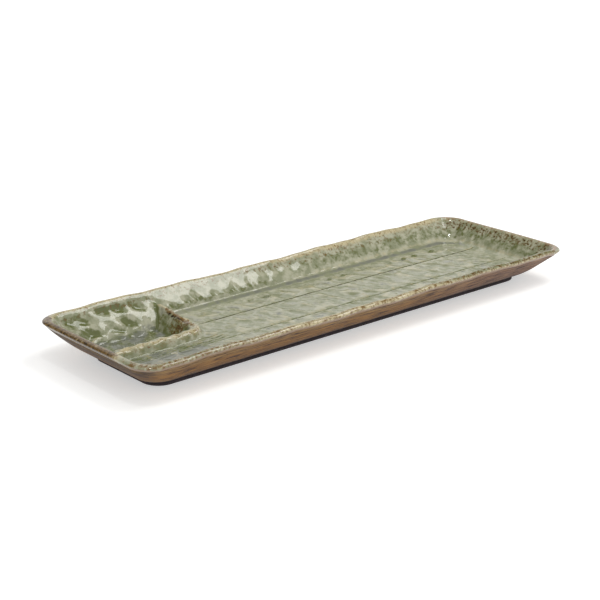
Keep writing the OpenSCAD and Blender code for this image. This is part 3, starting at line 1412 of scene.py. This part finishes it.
@dataclass(frozen=True)
class BedGlaze:
    """How the glaze lies on the bed, the well and the divider. Spans and humps are in millimetres, apart
    from the strokes' ridge, and the other values are shares from 0 to 1."""

    inner: Span = Span(0.0, 4.0)
    crest: Hump = Hump(0.5, 2.8)
    front: Span = Span(10.0, 26.0)
    tray: Span = Span(-1.0, 1.0)
    ridge: Span = Span(-3.0, -1.0)
    channel: Span = Span(-106.0, -58.0)
    brown_edge: Hump = Hump(-2.0, 0.9)
    dent_thick: float = 0.88
    face_thick: float = 0.2
    face_thick_front: float = 0.4
    channel_thick: float = 0.5
    well_thick: float = 0.52
    nick_thick: float = 0.64
    line_thick_loss: float = 0.4
    crest_thin: float = 0.5
    stroke_ridge: Span = Span(0.5, 1.0)
    stroke_thin: float = 0.27
    lip_thin: float = 0.45
    fleck: float = 0.3
    fleck_ridge: float = 0.38
    fleck_face: float = 0.2
    fleck_face_front: float = 0.26
    fleck_well: float = 0.12
    line_dark: float = 0.9
    line_dark_loss: float = 0.45
    edge_dark: float = 0.8
    edge_dark_front: float = 0.2
    face_dark: float = 0.04
    face_dark_front: float = 0.56
    stroke_pool: float = 0.28
    smudge_pool: float = 0.52
    channel_pool: float = 0.66
    well_pool: float = 0.62
    well_pool_loss: float = 0.3

    def shares(self, surface: DishSurface) -> dict[str, Grid]:
        """What the glaze does on the bed.

        Args:
            surface: the dish's surface.

        Returns:
            For each of the glaze's attributes, shares from 0 to 1.
        """
        s = surface.sizes
        x, y = surface.bed.plan
        d = surface.bed_distance
        marks = surface.relief
        face, crease = surface.bed_face, surface.bed_crease
        lines = surface.lines.marks(s, x, y)[1]
        inner = self.inner.rise(surface.bed_edge)
        front = self.front.fall(y)
        crest = self.crest.at(d - s.crest_mid)
        in_well = surface.in_well(x, y) * (1 - crest)
        tray = self.tray.rise(d - s.tray_foot)
        ridge = self.ridge.rise(d - s.crest_mid) * (1 - tray)
        channel = tray * self.channel.fall(x) * (y < s.turn_y)
        brown_edge = self.brown_edge.at(d - s.crest_mid) * surface.cross.rise(y - s.turn_y)
        well_pool = self.well_pool - self.well_pool_loss * marks.well
        shares = {
            "thick": greatest(
                self.dent_thick * marks.dents,
                face * (self.face_thick + self.face_thick_front * front),
                crease,
                self.channel_thick * channel,
                self.well_thick * in_well,
                self.nick_thick * (1 - marks.nicks) * ridge,
                lines * (1 - self.line_thick_loss * channel),
            ),
            "thin_and_highlight": greatest(
                ridge_share(surface.bed.bend()) * (1 - channel),
                self.crest_thin * crest,
                self.stroke_thin * self.stroke_ridge.rise(marks.strokes) * tray * inner,
                self.lip_thin * marks.lips,
            ),
            "fleck": self.fleck + self.fleck_ridge * ridge + self.fleck_well * in_well
            + face * (self.fleck_face + self.fleck_face_front * front),
            "dark": greatest(
                self.line_dark * lines * (1 - self.line_dark_loss * channel),
                brown_edge * (self.edge_dark + self.edge_dark_front * front),
                face * (self.face_dark + self.face_dark_front * front),
            ),
            "pool_and_reflection": greatest(
                self.stroke_pool * (1 - marks.strokes) * tray * inner,
                self.smudge_pool * marks.smudges,
                self.channel_pool * channel * inner * (1 - lines),
                well_pool * in_well * (1 - face) * (1 - crease),
            ),
            "bare": np.zeros_like(x),
        }
        return {name: np.clip(share, 0, 1) for name, share in shares.items()}


def add_node(tree: Tree, kind: str, inputs: dict[Any, Any], **settings: Any) -> Node:
    """Adds a node to a node tree.

    Args:
        tree: the node tree.
        kind: Blender's name for the kind of node.
        inputs: for each input's name or number, a value or the output socket that feeds it.
        settings: the node's own settings.

    Returns:
        The node.
    """
    node = tree.nodes.new(kind)
    for name, value in settings.items():
        setattr(node, name, value)
    for key, value in inputs.items():
        if isinstance(value, Socket):
            tree.links.new(value, node.inputs[key])
        else:
            node.inputs[key].default_value = value
    return node


def arithmetic(tree: Tree, operation: str, *values: Any) -> Socket:
    """Adds a node of arithmetic on numbers and sockets, and gives its result."""
    return add_node(tree, "ShaderNodeMath", dict(enumerate(values)), operation=operation).outputs[0]


def noise(tree: Tree, place: Socket, scale: float, detail: float, roughness: float) -> Socket:
    """Adds a node of layered noise.

    Args:
        tree: the node tree.
        place: coordinates.
        scale: number of marks for each unit of the coordinates.
        detail: number of finer layers.
        roughness: strength of each layer beside the one before.

    Returns:
        The noise, about 0.5 on average.
    """
    return add_node(tree, "ShaderNodeTexNoise", {
        "Vector": place, "Scale": scale, "Detail": detail, "Roughness": roughness,
    }).outputs["Fac"]


def smooth_range(tree: Tree, value: Socket, span: Span, most: float = 1.0, least: float = 0.0) -> Socket:
    """Adds a node that goes smoothly from one value to another over a span.

    Args:
        tree: the node tree.
        value: the measure that the span is in.
        span: where the change starts and ends.
        most: value at the span's end.
        least: value at its start.

    Returns:
        The result.
    """
    return add_node(tree, "ShaderNodeMapRange", {
        "Value": value, "From Min": span.low, "From Max": span.high, "To Min": least, "To Max": most,
    }, interpolation_type="SMOOTHSTEP").outputs["Result"]


def mixed(tree: Tree, share: Socket, first: Any, second: Any) -> Socket:
    """Adds a node that mixes two colours by the second one's share, and gives the mixture."""
    inputs = {0: share, MIX_FIRST: first, MIX_SECOND: second}
    return add_node(tree, "ShaderNodeMix", inputs, data_type="RGBA").outputs[MIX_RESULT]


def layered(tree: Tree, base: str, layers: tuple[tuple[Socket, Span, float, str], ...]) -> Socket:
    """Adds nodes that lay tints over a base colour, one after the other.

    Args:
        tree: the node tree.
        base: the base colour.
        layers: for each tint a level, the span of it over which the tint sets in, its share and its colour.

    Returns:
        The colour.
    """
    colour = linear(base)
    for level, span, most, tint in layers:
        colour = mixed(tree, smooth_range(tree, level, span, most), colour, linear(tint))
    return colour


def per_metre(size_mm: float) -> float:
    """Scale of a texture on coordinates in metres whose marks have a size in millimetres."""
    return 1 / (size_mm * MM)


def new_material(name: str) -> tuple[Material, Tree, Node]:
    """Makes an empty material.

    Args:
        name: name of the real material.

    Returns:
        The material, its node tree and its shader, which is linked to the output.
    """
    material = bpy.data.materials.new(name)
    material.use_nodes = True
    tree = material.node_tree
    tree.nodes.clear()
    shader = add_node(tree, "ShaderNodeBsdfPrincipled", {})
    add_node(tree, "ShaderNodeOutputMaterial", {"Surface": shader.outputs["BSDF"]})
    return material, tree, shader


@dataclass(frozen=True)
class Bump:
    """Fine relief of a finish: how strongly it shows and how deep it is in millimetres."""

    strength: float
    depth_mm: float

    def dress(self, tree: Tree, shader: Node, colour: Socket, height: Socket) -> None:
        """Feeds a shader with a colour and with this relief.

        Args:
            tree: the material's node tree.
            shader: its shader.
            colour: its colour.
            height: height of the relief.
        """
        bump = add_node(tree, "ShaderNodeBump", {
            "Height": height, "Strength": self.strength, "Distance": self.depth_mm * MM,
        })
        tree.links.new(colour, shader.inputs["Base Color"])
        tree.links.new(bump.outputs["Normal"], shader.inputs["Normal"])


@dataclass(frozen=True)
class CeladonGlaze:
    """Reduction-fired celadon over iron-bearing stoneware: grey-green gloss that is deep green where it
    runs thick, grey where it pools, cream on edges and flecked with iron where it thins at the rim. Along
    the foot of the tray's wall the grey is also a painted dark reflection, and a cream line there to the
    right is a painted highlight.

    Each tint sets in over a span of its share on the mesh plus so many times a noise.
    """

    name: str = "celadon_glaze"
    body: str = "#8c8f71"
    pale: str = "#b0af96"
    thick: str = "#646a3c"
    pool_and_reflection: str = "#74766a"
    thin_and_highlight: str = "#c4b791"
    bare: str = "#97795a"
    iron: str = "#705323"
    dark: str = "#2f2109"
    roughness: float = 0.07
    ior: float = 1.5
    mottle_mm: float = 5.5
    grain_mm: float = 3.2
    fleck_mm: float = 1.6
    noise_detail: float = 3.0
    fleck_detail: float = 2.0
    noise_roughness: float = 0.6
    pale_span: Span = Span(0.38, 0.62)
    bump: Bump = Bump(0.12, 0.2)

    def build(self) -> Material:
        """Makes the material from the glaze's attributes and noise on Object coordinates.

        Returns:
            The material.
        """
        material, tree, shader = new_material(self.name)
        place = add_node(tree, "ShaderNodeTexCoord", {}).outputs["Object"]
        mottle, grain, spots = (
            noise(tree, place, per_metre(size), detail, self.noise_roughness)
            for size, detail in (
                (self.mottle_mm, self.noise_detail),
                (self.grain_mm, self.noise_detail),
                (self.fleck_mm, self.fleck_detail),
            )
        )
        tints = (
            ("thick", grain, 1.2, Span(0.88, 1.25), 1.0, self.thick),
            # Also a painted dark reflection along the foot of the tray's wall.
            ("pool_and_reflection", mottle, 1.6, Span(0.98, 1.5), 0.9, self.pool_and_reflection),
            # Also a painted highlight line along the foot of the tray's wall to the right.
            ("thin_and_highlight", grain, 0.7, Span(0.5, 1.0), 1.0, self.thin_and_highlight),
            ("fleck", spots, 1.0, Span(1.16, 1.44), 0.92, self.iron),
            ("dark", spots, 1.4, Span(1.2, 1.65), 1.0, self.dark),
            ("bare", spots, 0.8, Span(0.7, 1.1), 1.0, self.bare),
        )
        layers = [(mottle, self.pale_span, 1.0, self.pale)]
        for name, uneven, uneven_share, span, most, tint in tints:
            share = add_node(tree, "ShaderNodeAttribute", {}, attribute_name=name).outputs["Fac"]
            level = arithmetic(tree, "MULTIPLY_ADD", uneven, uneven_share, share)
            layers.append((level, span, most, tint))
        self.bump.dress(tree, shader, layered(tree, self.body, tuple(layers)), mottle)
        shader.inputs["Roughness"].default_value = self.roughness
        shader.inputs["IOR"].default_value = self.ior
        return material


@dataclass(frozen=True)
class BrownWash:
    """Iron wash brushed round the outside and fired to a satin: golden brown with dark and light streaks
    along the brush's way, purple-brown to the right, ochre where it thins under the rim, and iron-brown in
    a band under the rim at the left end. Low down and at the left end it is darkened to purple-black as
    painted shade.

    The spans of the plum tint, the end and the band are in metres.
    """

    name: str = "iron_wash"
    brown: str = "#a0743f"
    streak: str = "#432d1d"
    plum: str = "#8a6d61"
    spot: str = "#382a2a"
    ochre: str = "#9a7d55"
    gold: str = "#b58c55"
    painted_shade: str = "#2e2628"
    # Painted shade: purple-black for the wall low down and at the left end.
    iron: str = "#624a1e"
    roughness: float = 0.5
    shine: float = 0.12
    streak_mm: tuple[float, float] = (14.0, 1.2)
    patch_mm: tuple[float, float] = (15.0, 3.6)
    noise_detail: float = 5.0
    noise_roughness: float = 0.68
    wall_mm: float = 25.0
    patch_share: float = 0.45
    plum_span: Span = Span(0.0, 0.11)
    end_span: Span = Span(-0.134, -0.147)
    band_span: Span = Span(0.0142, 0.0154)
    bump: Bump = Bump(0.3, 0.15)

    def build(self) -> Material:
        """Makes the material from streaks on the wall's own map, which holds metres round and up it.

        Returns:
            The material.
        """
        material, tree, shader = new_material(self.name)
        place = add_node(tree, "ShaderNodeUVMap", {}, uv_map=WASH_UV).outputs["UV"]
        stretched = (
            add_node(tree, "ShaderNodeMapping", {
                "Vector": place, "Scale": (per_metre(length), per_metre(width), 1.0),
            }).outputs["Vector"]
            for length, width in (self.streak_mm, self.patch_mm)
        )
        fine, patch = (noise(tree, on, 1.0, self.noise_detail, self.noise_roughness) for on in stretched)
        up = add_node(tree, "ShaderNodeSeparateXYZ", {"Vector": place}).outputs["Y"]
        level = arithmetic(tree, "MULTIPLY", up, per_metre(self.wall_mm))
        uneven = arithmetic(tree, "MULTIPLY_ADD", patch, self.patch_share, level)
        body_place = add_node(tree, "ShaderNodeTexCoord", {}).outputs["Object"]
        along, _, height = add_node(tree, "ShaderNodeSeparateXYZ", {"Vector": body_place}).outputs
        at_end = smooth_range(tree, along, self.end_span)
        end_height = arithmetic(tree, "MULTIPLY", height, at_end)
        layers = (
            (uneven, Span(0.98, 1.22), 0.8, self.ochre),
            # Painted shade: the left end, turned away from the lamps, darkened to purple-black.
            (at_end, Span(0.0, 1.0), 0.8, self.painted_shade),
            (end_height, self.band_span, 0.9, self.iron),
            (along, self.plum_span, 0.85, self.plum),
            (fine, Span(0.53, 0.68), 0.7, self.gold),
            (fine, Span(0.54, 0.4), 0.95, self.streak),
            (patch, Span(0.57, 0.66), 0.85, self.spot),
            # Painted shade: purple-black low down on the wall, where the dish's shadow falls.
            (uneven, Span(0.62, 0.34), 1.0, self.painted_shade),
        )
        self.bump.dress(tree, shader, layered(tree, self.brown, layers), fine)
        shader.inputs["Roughness"].default_value = self.roughness
        shader.inputs["Specular IOR Level"].default_value = self.shine
        return material


@dataclass(frozen=True)
class BareClay:
    """Bare iron-bearing stoneware, fired dark: matt purple-brown with a fine sandy grain."""

    name: str
    clay: str
    grit: str
    roughness: float = 0.78
    grain_mm: float = 0.9
    patch_mm: float = 9.0
    noise_detail: float = 3.0
    noise_roughness: float = 0.6
    patch_share: float = 0.6
    grit_span: Span = Span(0.6, 1.0)
    bump: Bump = Bump(0.4, 0.2)

    def build(self) -> Material:
        """Makes the material from a sandy grain and slow patches on Object coordinates.

        Returns:
            The material.
        """
        material, tree, shader = new_material(self.name)
        place = add_node(tree, "ShaderNodeTexCoord", {}).outputs["Object"]
        grain, patch = (
            noise(tree, place, per_metre(size), self.noise_detail, self.noise_roughness)
            for size in (self.grain_mm, self.patch_mm)
        )
        level = arithmetic(tree, "MULTIPLY_ADD", patch, self.patch_share, grain)
        share = add_node(tree, "ShaderNodeMapRange", {
            "Value": level, "From Min": self.grit_span.low, "From Max": self.grit_span.high,
        }).outputs["Result"]
        self.bump.dress(tree, shader, mixed(tree, share, linear(self.clay), linear(self.grit)), grain)
        shader.inputs["Roughness"].default_value = self.roughness
        return material


def place_piece(mesh: Mesh, material: Material, node: str) -> None:
    """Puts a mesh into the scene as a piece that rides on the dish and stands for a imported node.

    Args:
        mesh: the finished mesh, in metres, whose name the piece takes.
        material: its finish.
        node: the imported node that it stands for.
    """
    mesh.materials.append(material)
    piece = bpy.data.objects.new(mesh.name, mesh)
    bpy.context.scene.collection.objects.link(piece)
    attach(piece, ROOT_BODY)
    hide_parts(node)
    LOG.info("%s: %d faces, stands for %s", mesh.name, len(mesh.polygons), node)


def cell_corners(index: Grid, wraps: bool) -> Grid:
    """Corners of a grid's cells, in the order that makes them face along the grid's normals.

    Args:
        index: numbers of the grid's points.
        wraps: whether the last column joins the first.

    Returns:
        Four numbers for each cell.
    """
    here = index if wraps else index[:, :-1]
    following = np.roll(index, -1, 1) if wraps else index[:, 1:]
    return np.stack([here[:-1], following[:-1], following[1:], here[1:]], -1)


@dataclass
class Coat:
    """A coat over some cells of a sheet: the sheet's surface, the same surface a coat lower or a flat
    underside, and a wall round the edge between them."""

    name: str
    sheet: Sheet
    cells: Grid
    depth: float
    map_name: Optional[str] = None
    floor: Optional[float] = None

    def neighbours(self) -> list[Grid]:
        """For each side of each cell, whether the cell beyond it is coated too.

        Returns:
            Four masks: the row before, the column after, the row after and the column before.
        """
        cells = self.cells
        rows = np.pad(cells, ((1, 1), (0, 0)))
        if self.sheet.wraps:
            after, before = np.roll(cells, -1, 1), np.roll(cells, 1, 1)
        else:
            columns = np.pad(cells, ((0, 0), (1, 1)))
            after, before = columns[:, 2:], columns[:, :-2]
        return [rows[:-2], after, rows[2:], before]

    def faces(self) -> tuple[Grid, Grid, Grid]:
        """Corner numbers of the faces. A lower point's number is its upper one's plus the sheet's size.

        Returns:
            The upper, lower and edge faces, four corners each, facing outwards.
        """
        rows, columns = self.sheet.points.shape[:2]
        size = rows * columns
        corners = cell_corners(np.arange(size).reshape(rows, columns), self.sheet.wraps)
        upper = corners[self.cells]
        walls = []
        for side, covered in enumerate(self.neighbours()):
            open_sides = corners[self.cells & ~covered]
            first, last = open_sides[:, side], open_sides[:, (side + 1) % 4]
            walls.append(np.stack([last, first, first + size, last + size], -1))
        return upper, upper[:, ::-1] + size, np.concatenate(walls)

    def mesh(self) -> Mesh:
        """Makes the closed mesh, smooth on its two skins, with the sheet's own normals on them.

        Returns:
            The mesh, in metres.
        """
        upper, lower, walls = self.faces()
        faces = np.concatenate([upper, lower, walls])
        normals = self.sheet.normals.reshape(-1, 3)
        points = self.sheet.points.reshape(-1, 3)
        under = -normals
        lower_points = points + under * self.depth
        if self.floor is not None:
            under = np.tile([0.0, 0.0, -1.0], (len(points), 1))
            lower_points = np.where([True, True, False], points, self.floor)
        both = np.concatenate([points, lower_points]) * MM
        used, numbered = np.unique(faces, return_inverse=True)
        mesh = bpy.data.meshes.new(self.name)
        mesh.from_pydata(both[used].tolist(), [], numbered.reshape(-1, 4).tolist())
        skins = len(upper) + len(lower)
        mesh.polygons.foreach_set("use_smooth", np.arange(len(faces)) < skins)
        for name, share in self.sheet.glaze.items():
            attribute = mesh.attributes.new(name, "FLOAT", "POINT")
            attribute.data.foreach_set("value", np.tile(share.ravel(), 2)[used].astype(np.float32))
        if self.map_name:
            self.add_map(mesh, faces)
        mesh.update()
        corner_normals = np.concatenate([normals, under])[faces]
        corner_normals[skins:] = 0
        mesh.normals_split_custom_set(corner_normals.reshape(-1, 3).tolist())
        return mesh

    def add_map(self, mesh: Mesh, faces: Grid) -> None:
        """Adds a map that holds the way round the dish and the way up the wall, in metres.

        Args:
            mesh: the mesh that gets the map.
            faces: corner numbers of all its faces, in the mesh's order.
        """
        rows, columns = self.sheet.points.shape[:2]
        middle = self.sheet.points[rows // 2, :, :2]
        round_steps = np.linalg.norm(np.roll(middle, -1, 0) - middle, axis=1)
        up_steps = np.linalg.norm(np.diff(self.sheet.points[:, columns // 2], axis=0), axis=1)
        travel, height = (np.concatenate([[0.0], np.cumsum(steps)]) for steps in (round_steps, up_steps))
        row, column = np.divmod(faces % (rows * columns), columns)
        at_seam = (column.max(1, keepdims=True) - column.min(1, keepdims=True)) > columns // 2
        column = np.where(at_seam & (column == 0), columns, column)
        places = np.stack([travel[column], height[row]], -1) * MM
        layer = mesh.uv_layers.new(name=self.map_name)
        layer.data.foreach_set("uv", places.astype(np.float32).ravel())


@dataclass
class GlazedInside:
    """The coats of glaze on the inside and the rim."""

    surface: DishSurface
    finish: CeladonGlaze = CeladonGlaze()

    def build(self) -> None:
        """Makes each coat as a piece of its own, with one material for all of them."""
        surface = self.surface
        strip, bed = surface.strip, surface.bed
        rim, wall = (surface.strip_cells(section) for section in (Section.RIM, Section.INSIDE))
        in_well, on_divider = surface.divider_cells()
        material = self.finish.build()
        for name, sheet, cells, slot, node in (
            ("rim_glaze_coat", strip, rim, "rim_break", "rim_glaze"),
            ("wall_glaze_coat", strip, wall, "celadon", "tray_glaze"),
            ("bed_glaze_coat", bed, ~in_well & ~on_divider, "celadon", "tray_glaze"),
            ("divider_glaze_coat", bed, on_divider, "celadon", "divider_glaze"),
            ("well_glaze_coat", bed, in_well, "pooled_celadon", "well_glaze"),
        ):
            place_piece(Coat(name, sheet, cells, surface.sizes.coat).mesh(), material, node)


@dataclass
class OutsideWash:
    """The iron wash on the outside of the wall."""

    surface: DishSurface
    finish: BrownWash = BrownWash()

    def build(self) -> None:
        """Makes the wash as a coat over the strip's outside rows."""
        surface = self.surface
        last = surface.rows(Section.OUTSIDE).stop + 1
        sheet = Sheet(surface.strip.points[:last], wraps=True)
        sheet.normals = surface.strip.normals[:last]
        cells = surface.strip_cells(Section.OUTSIDE)[:last - 1]
        coat = Coat("outside_wash_coat", sheet, cells, surface.sizes.coat, WASH_UV)
        place_piece(coat.mesh(), self.finish.build(), "outer_glaze")


@dataclass
class ClayBody:
    """The clay under the coats, which shows on the underside, and the foot ring that it stands on."""

    surface: DishSurface
    finish: BareClay = BareClay("stoneware_clay", "#40332f", "#57463f")
    foot_finish: BareClay = BareClay("bare_foot_clay", "#2b2325", "#41353a")
    foot_edge_r: float = 0.7
    foot_steps: int = 5
    strip_depth: float = 0.6
    weld_decimals: int = 4

    def closed_mesh(self, name: str, grids: list[Grid], loops: list[bool], cap: Grid) -> Mesh:
        """Joins grids that share their edges' points into one closed mesh.

        Args:
            name: the mesh's name.
            grids: grids of points in millimetres.
            loops: for each grid, whether its last column joins its first.
            cap: ring of points, anticlockwise from above, of a flat face that looks down, or no points.

        Returns:
            The mesh, with each shared point once.
        """
        points, faces, first = [], [], 0
        for grid, loop in zip(grids, loops):
            size = grid.shape[0] * grid.shape[1]
            index = first + np.arange(size).reshape(grid.shape[:2])
            faces.append(cell_corners(index, loop).reshape(-1, 4))
            points.append(grid.reshape(-1, 3))
            first += size
        keys = np.round(np.concatenate(points + [cap]), self.weld_decimals)
        unique, numbered = np.unique(keys, axis=0, return_inverse=True)
        numbered = numbered.reshape(-1)
        corners = numbered[np.concatenate(faces)].tolist()
        smooth = len(corners)
        if len(cap):
            corners.append(numbered[first:][::-1].tolist())
        mesh = bpy.data.meshes.new(name)
        mesh.from_pydata((unique * MM).tolist(), [], corners)
        mesh.polygons.foreach_set("use_smooth", np.arange(len(corners)) < smooth)
        mesh.update()
        return mesh

    def body_mesh(self) -> Mesh:
        """The clay's skin: the finished surface a coat lower, a step down to the foot and a flat underside.

        Returns:
            The mesh.
        """
        surface = self.surface
        s = surface.sizes
        strip = surface.strip.points - surface.strip.normals * s.coat
        bed = surface.bed.points - surface.bed.normals * s.coat
        for grid in (bed, strip[-1]):
            grid[..., 2] = np.minimum(grid[..., 2], s.bed_z - s.coat)
        ring = surface.perimeter.one_ring(
            s.length / 2 - s.foot_inset, s.width / 2 - s.foot_inset, s.foot_corner_r
        )
        step = np.concatenate([ring, np.full((len(ring), 1), s.foot_h)], 1)
        rings = np.concatenate([step[None], strip[:-1:2], strip[-1:]])
        return self.closed_mesh("clay_body", [rings, bed], [True, False], step)

    def foot_mesh(self) -> Mesh:
        """The foot ring: a rectangle with rounded lower edges, carried round the foot.

        Returns:
            The mesh.
        """
        s = self.surface.sizes
        r = self.foot_edge_r
        turn = np.radians(np.linspace(0, 90, self.foot_steps + 1))
        outer = np.stack([r - r * np.cos(turn), r - r * np.sin(turn)], 1)
        inner = np.stack([s.foot_w - r + r * np.sin(turn), r - r * np.cos(turn)], 1)
        outer_top, inner_top = [[0.0, s.foot_h]], [[s.foot_w, s.foot_h]]
        profile = np.concatenate([outer_top, outer, inner, inner_top, outer_top])
        inset = s.foot_inset + profile[:, :1]
        corner = s.foot_corner_r - profile[:, :1]
        plan = self.surface.perimeter.ring(s.length / 2 - inset, s.width / 2 - inset, corner)
        height = np.broadcast_to(profile[:, 1:], plan.shape[:2])
        grid = np.concatenate([plan, height[..., None]], 2)[::-1]
        return self.closed_mesh("foot_ring_clay", [grid], [True], np.empty((0, 3)))

    def divider_strips(self) -> dict[str, Coat]:
        """The divider's two clay strips, a coat under the glaze and flat where they sit in the body.

        Returns:
            For each imported strip, the one that stands for it.
        """
        surface = self.surface
        s = surface.sizes
        bed = surface.bed
        sheet = Sheet(bed.points - bed.normals * s.coat, wraps=False)
        on_divider = surface.divider_cells()[1]
        across = on_divider & (bed.points[:-1, :-1, 1] >= s.turn_y)
        floor = s.well_z - surface.right_floor_drop - s.coat - self.strip_depth
        return {
            "well_cross_wall": Coat("cross_wall_clay", sheet, across, s.coat, floor=floor),
            "well_side_wall": Coat("side_wall_clay", sheet, on_divider & ~across, s.coat, floor=floor),
        }

    def build(self) -> None:
        """Makes the body, the foot and the divider's strips, which the glaze hides."""
        clay = self.finish.build()
        place_piece(self.body_mesh(), clay, "tray_body")
        place_piece(self.foot_mesh(), self.foot_finish.build(), "foot_ring")
        for node, strip in self.divider_strips().items():
            place_piece(strip.mesh(), clay, node)


def direction(azimuth: float, elevation: float) -> Vector:
    """Direction at an azimuth anticlockwise from the dish's right end and an elevation, both in degrees.

    Args:
        azimuth: angle round the dish.
        elevation: angle above the table.

    Returns:
        A vector of length 1.
    """
    a, e = math.radians(azimuth), math.radians(elevation)
    return Vector((math.cos(a) * math.cos(e), math.sin(a) * math.cos(e), math.sin(e)))


@dataclass(frozen=True)
class Lamp:
    """A soft rectangular studio lamp, turned towards the dish."""

    name: str
    azimuth: float
    elevation: float
    distance: float
    width: float
    height: float
    radiance: float

    def place(self) -> None:
        """Makes the lamp. Its power is its radiance times its area times pi."""
        away = direction(self.azimuth, self.elevation)
        data = bpy.data.lights.new(self.name, "AREA")
        data.shape = "RECTANGLE"
        data.size = self.width
        data.size_y = self.height
        data.energy = self.radiance * self.width * self.height * math.pi
        lamp = bpy.data.objects.new(self.name, data)
        lamp.location = away * self.distance
        lamp.rotation_mode = "QUATERNION"
        lamp.rotation_quaternion = away.to_track_quat("Z", "Y")
        bpy.context.scene.collection.objects.link(lamp)


@dataclass(frozen=True)
class DarkSide:
    """A darker side of the room, as a cone about a direction, with angles in degrees."""

    azimuth: float
    elevation: float
    outer: float
    inner: float
    share: float

    def light(self, tree: Tree, place: Socket) -> Socket:
        """Adds nodes for the share of light that this side leaves.

        Args:
            tree: the room's node tree.
            place: direction from the dish.

        Returns:
            The share, which is 1 outside the cone.
        """
        towards = direction(self.azimuth, self.elevation)
        nearness = add_node(tree, "ShaderNodeVectorMath", {0: place, 1: towards}, operation="DOT_PRODUCT")
        cone = Span(math.cos(math.radians(self.outer)), math.cos(math.radians(self.inner)))
        return smooth_range(tree, nearness.outputs["Value"], cone, self.share, 1.0)


@dataclass(frozen=True)
class Studio:
    """Pale table, soft lamps, a pale room and the camera at the photograph's angle.

    Distances are in metres and angles in degrees.
    """

    lamps: tuple[Lamp, ...] = (
        Lamp("softbox", -14.0, 60.5, 1.1, 0.6, 0.4, 5.0),
        Lamp("top_lamp", -130.0, 76.0, 1.2, 0.06, 0.06, 80.0),
    )
    dark_sides: tuple[DarkSide, ...] = (
        DarkSide(20.0, 46.0, 29.0, 14.0, 0.12),
        DarkSide(124.0, 26.0, 36.0, 18.0, 0.16),
    )
    floor_half: float = 6.0
    floor_colour: str = "#e6e6e4"
    glow_span: Span = Span(0.2, 2.5)
    near_glow: float = 0.45
    far_glow: float = 0.75
    room_span: Span = Span(0.45, 0.75)
    room_low: float = 0.936
    room_high: float = 0.768
    camera_azimuth: float = -40.771
    camera_elevation: float = 18.951
    camera_distance: float = 0.79965
    camera_target: tuple[float, float, float] = (0.00736, 0.02585, 0.0)
    focal_pixels: float = 1423.86
    frame_pixels: float = 600.0
    sensor_mm: float = 36.0

    def floor(self) -> None:
        """A wide pale table that looks white to the camera and keeps the dish's shadow."""
        half = self.floor_half
        corners = [(-half, -half, 0), (half, -half, 0), (half, half, 0), (-half, half, 0)]
        mesh = bpy.data.meshes.new("table")
        mesh.from_pydata(corners, [], [(0, 1, 2, 3)])
        material, tree, shader = new_material("white_table")
        path = add_node(tree, "ShaderNodeLightPath", {})
        seen = arithmetic(tree, "MAXIMUM", path.outputs["Is Camera Ray"], path.outputs["Is Glossy Ray"])
        place = add_node(tree, "ShaderNodeTexCoord", {}).outputs["Object"]
        away = add_node(tree, "ShaderNodeVectorMath", {0: place}, operation="LENGTH").outputs["Value"]
        lift = add_node(tree, "ShaderNodeMapRange", {
            "Value": away, "From Min": self.glow_span.low, "From Max": self.glow_span.high,
            "To Min": self.near_glow, "To Max": self.far_glow,
        }).outputs["Result"]
        shader.inputs["Base Color"].default_value = linear(self.floor_colour)
        shader.inputs["Roughness"].default_value = 1.0
        shader.inputs["Specular IOR Level"].default_value = 0.0
        shader.inputs["Emission Color"].default_value = WHITE
        tree.links.new(arithmetic(tree, "MULTIPLY", seen, lift), shader.inputs["Emission Strength"])
        mesh.materials.append(material)
        table = bpy.data.objects.new("table", mesh)
        bpy.context.scene.collection.objects.link(table)

    def room(self) -> None:
        """A room that is pale low down, darker above and on two sides, and white to the camera."""
        world = bpy.data.worlds.new("room")
        world.use_nodes = True
        tree = world.node_tree
        tree.nodes.clear()
        place = add_node(tree, "ShaderNodeTexCoord", {}).outputs["Generated"]
        up = add_node(tree, "ShaderNodeSeparateXYZ", {"Vector": place}).outputs["Z"]
        lit = smooth_range(tree, up, self.room_span, self.room_high, self.room_low)
        for side in self.dark_sides:
            lit = arithmetic(tree, "MULTIPLY", lit, side.light(tree, place))
        camera_ray = add_node(tree, "ShaderNodeLightPath", {}).outputs["Is Camera Ray"]
        strength = add_node(tree, "ShaderNodeMix", {
            0: camera_ray, MIX_FIRST_NUMBER: lit, MIX_SECOND_NUMBER: 1.0,
        }).outputs[0]
        glow = add_node(tree, "ShaderNodeBackground", {"Color": WHITE, "Strength": strength})
        add_node(tree, "ShaderNodeOutputWorld", {"Surface": glow.outputs["Background"]})
        bpy.context.scene.world = world

    def camera(self) -> None:
        """The camera, at an azimuth from the front and an elevation about its target."""
        back = direction(self.camera_azimuth - 90, self.camera_elevation)
        data = bpy.data.cameras.new("camera")
        data.sensor_width = self.sensor_mm
        data.lens = self.sensor_mm * self.focal_pixels / self.frame_pixels
        camera = bpy.data.objects.new("camera", data)
        camera.location = Vector(self.camera_target) + back * self.camera_distance
        camera.rotation_mode = "QUATERNION"
        camera.rotation_quaternion = (-back).to_track_quat("-Z", "Y")
        bpy.context.scene.collection.objects.link(camera)
        bpy.context.scene.camera = camera

    def build(self) -> None:
        """Sets up the whole studio."""
        self.camera()
        self.floor()
        self.room()
        for lamp in self.lamps:
            lamp.place()
        bpy.context.scene.view_settings.view_transform = "Standard"


def main() -> None:
    """Builds the studio and the dish's pieces in order."""
    logging.basicConfig(level=logging.INFO, format="%(name)s: %(message)s")
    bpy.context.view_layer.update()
    Studio().build()
    surface = DishSurface(DishSizes.from_frame())
    GlazedInside(surface).build()
    OutsideWash(surface).build()
    ClayBody(surface).build()


if __name__ == "__main__":
    main()
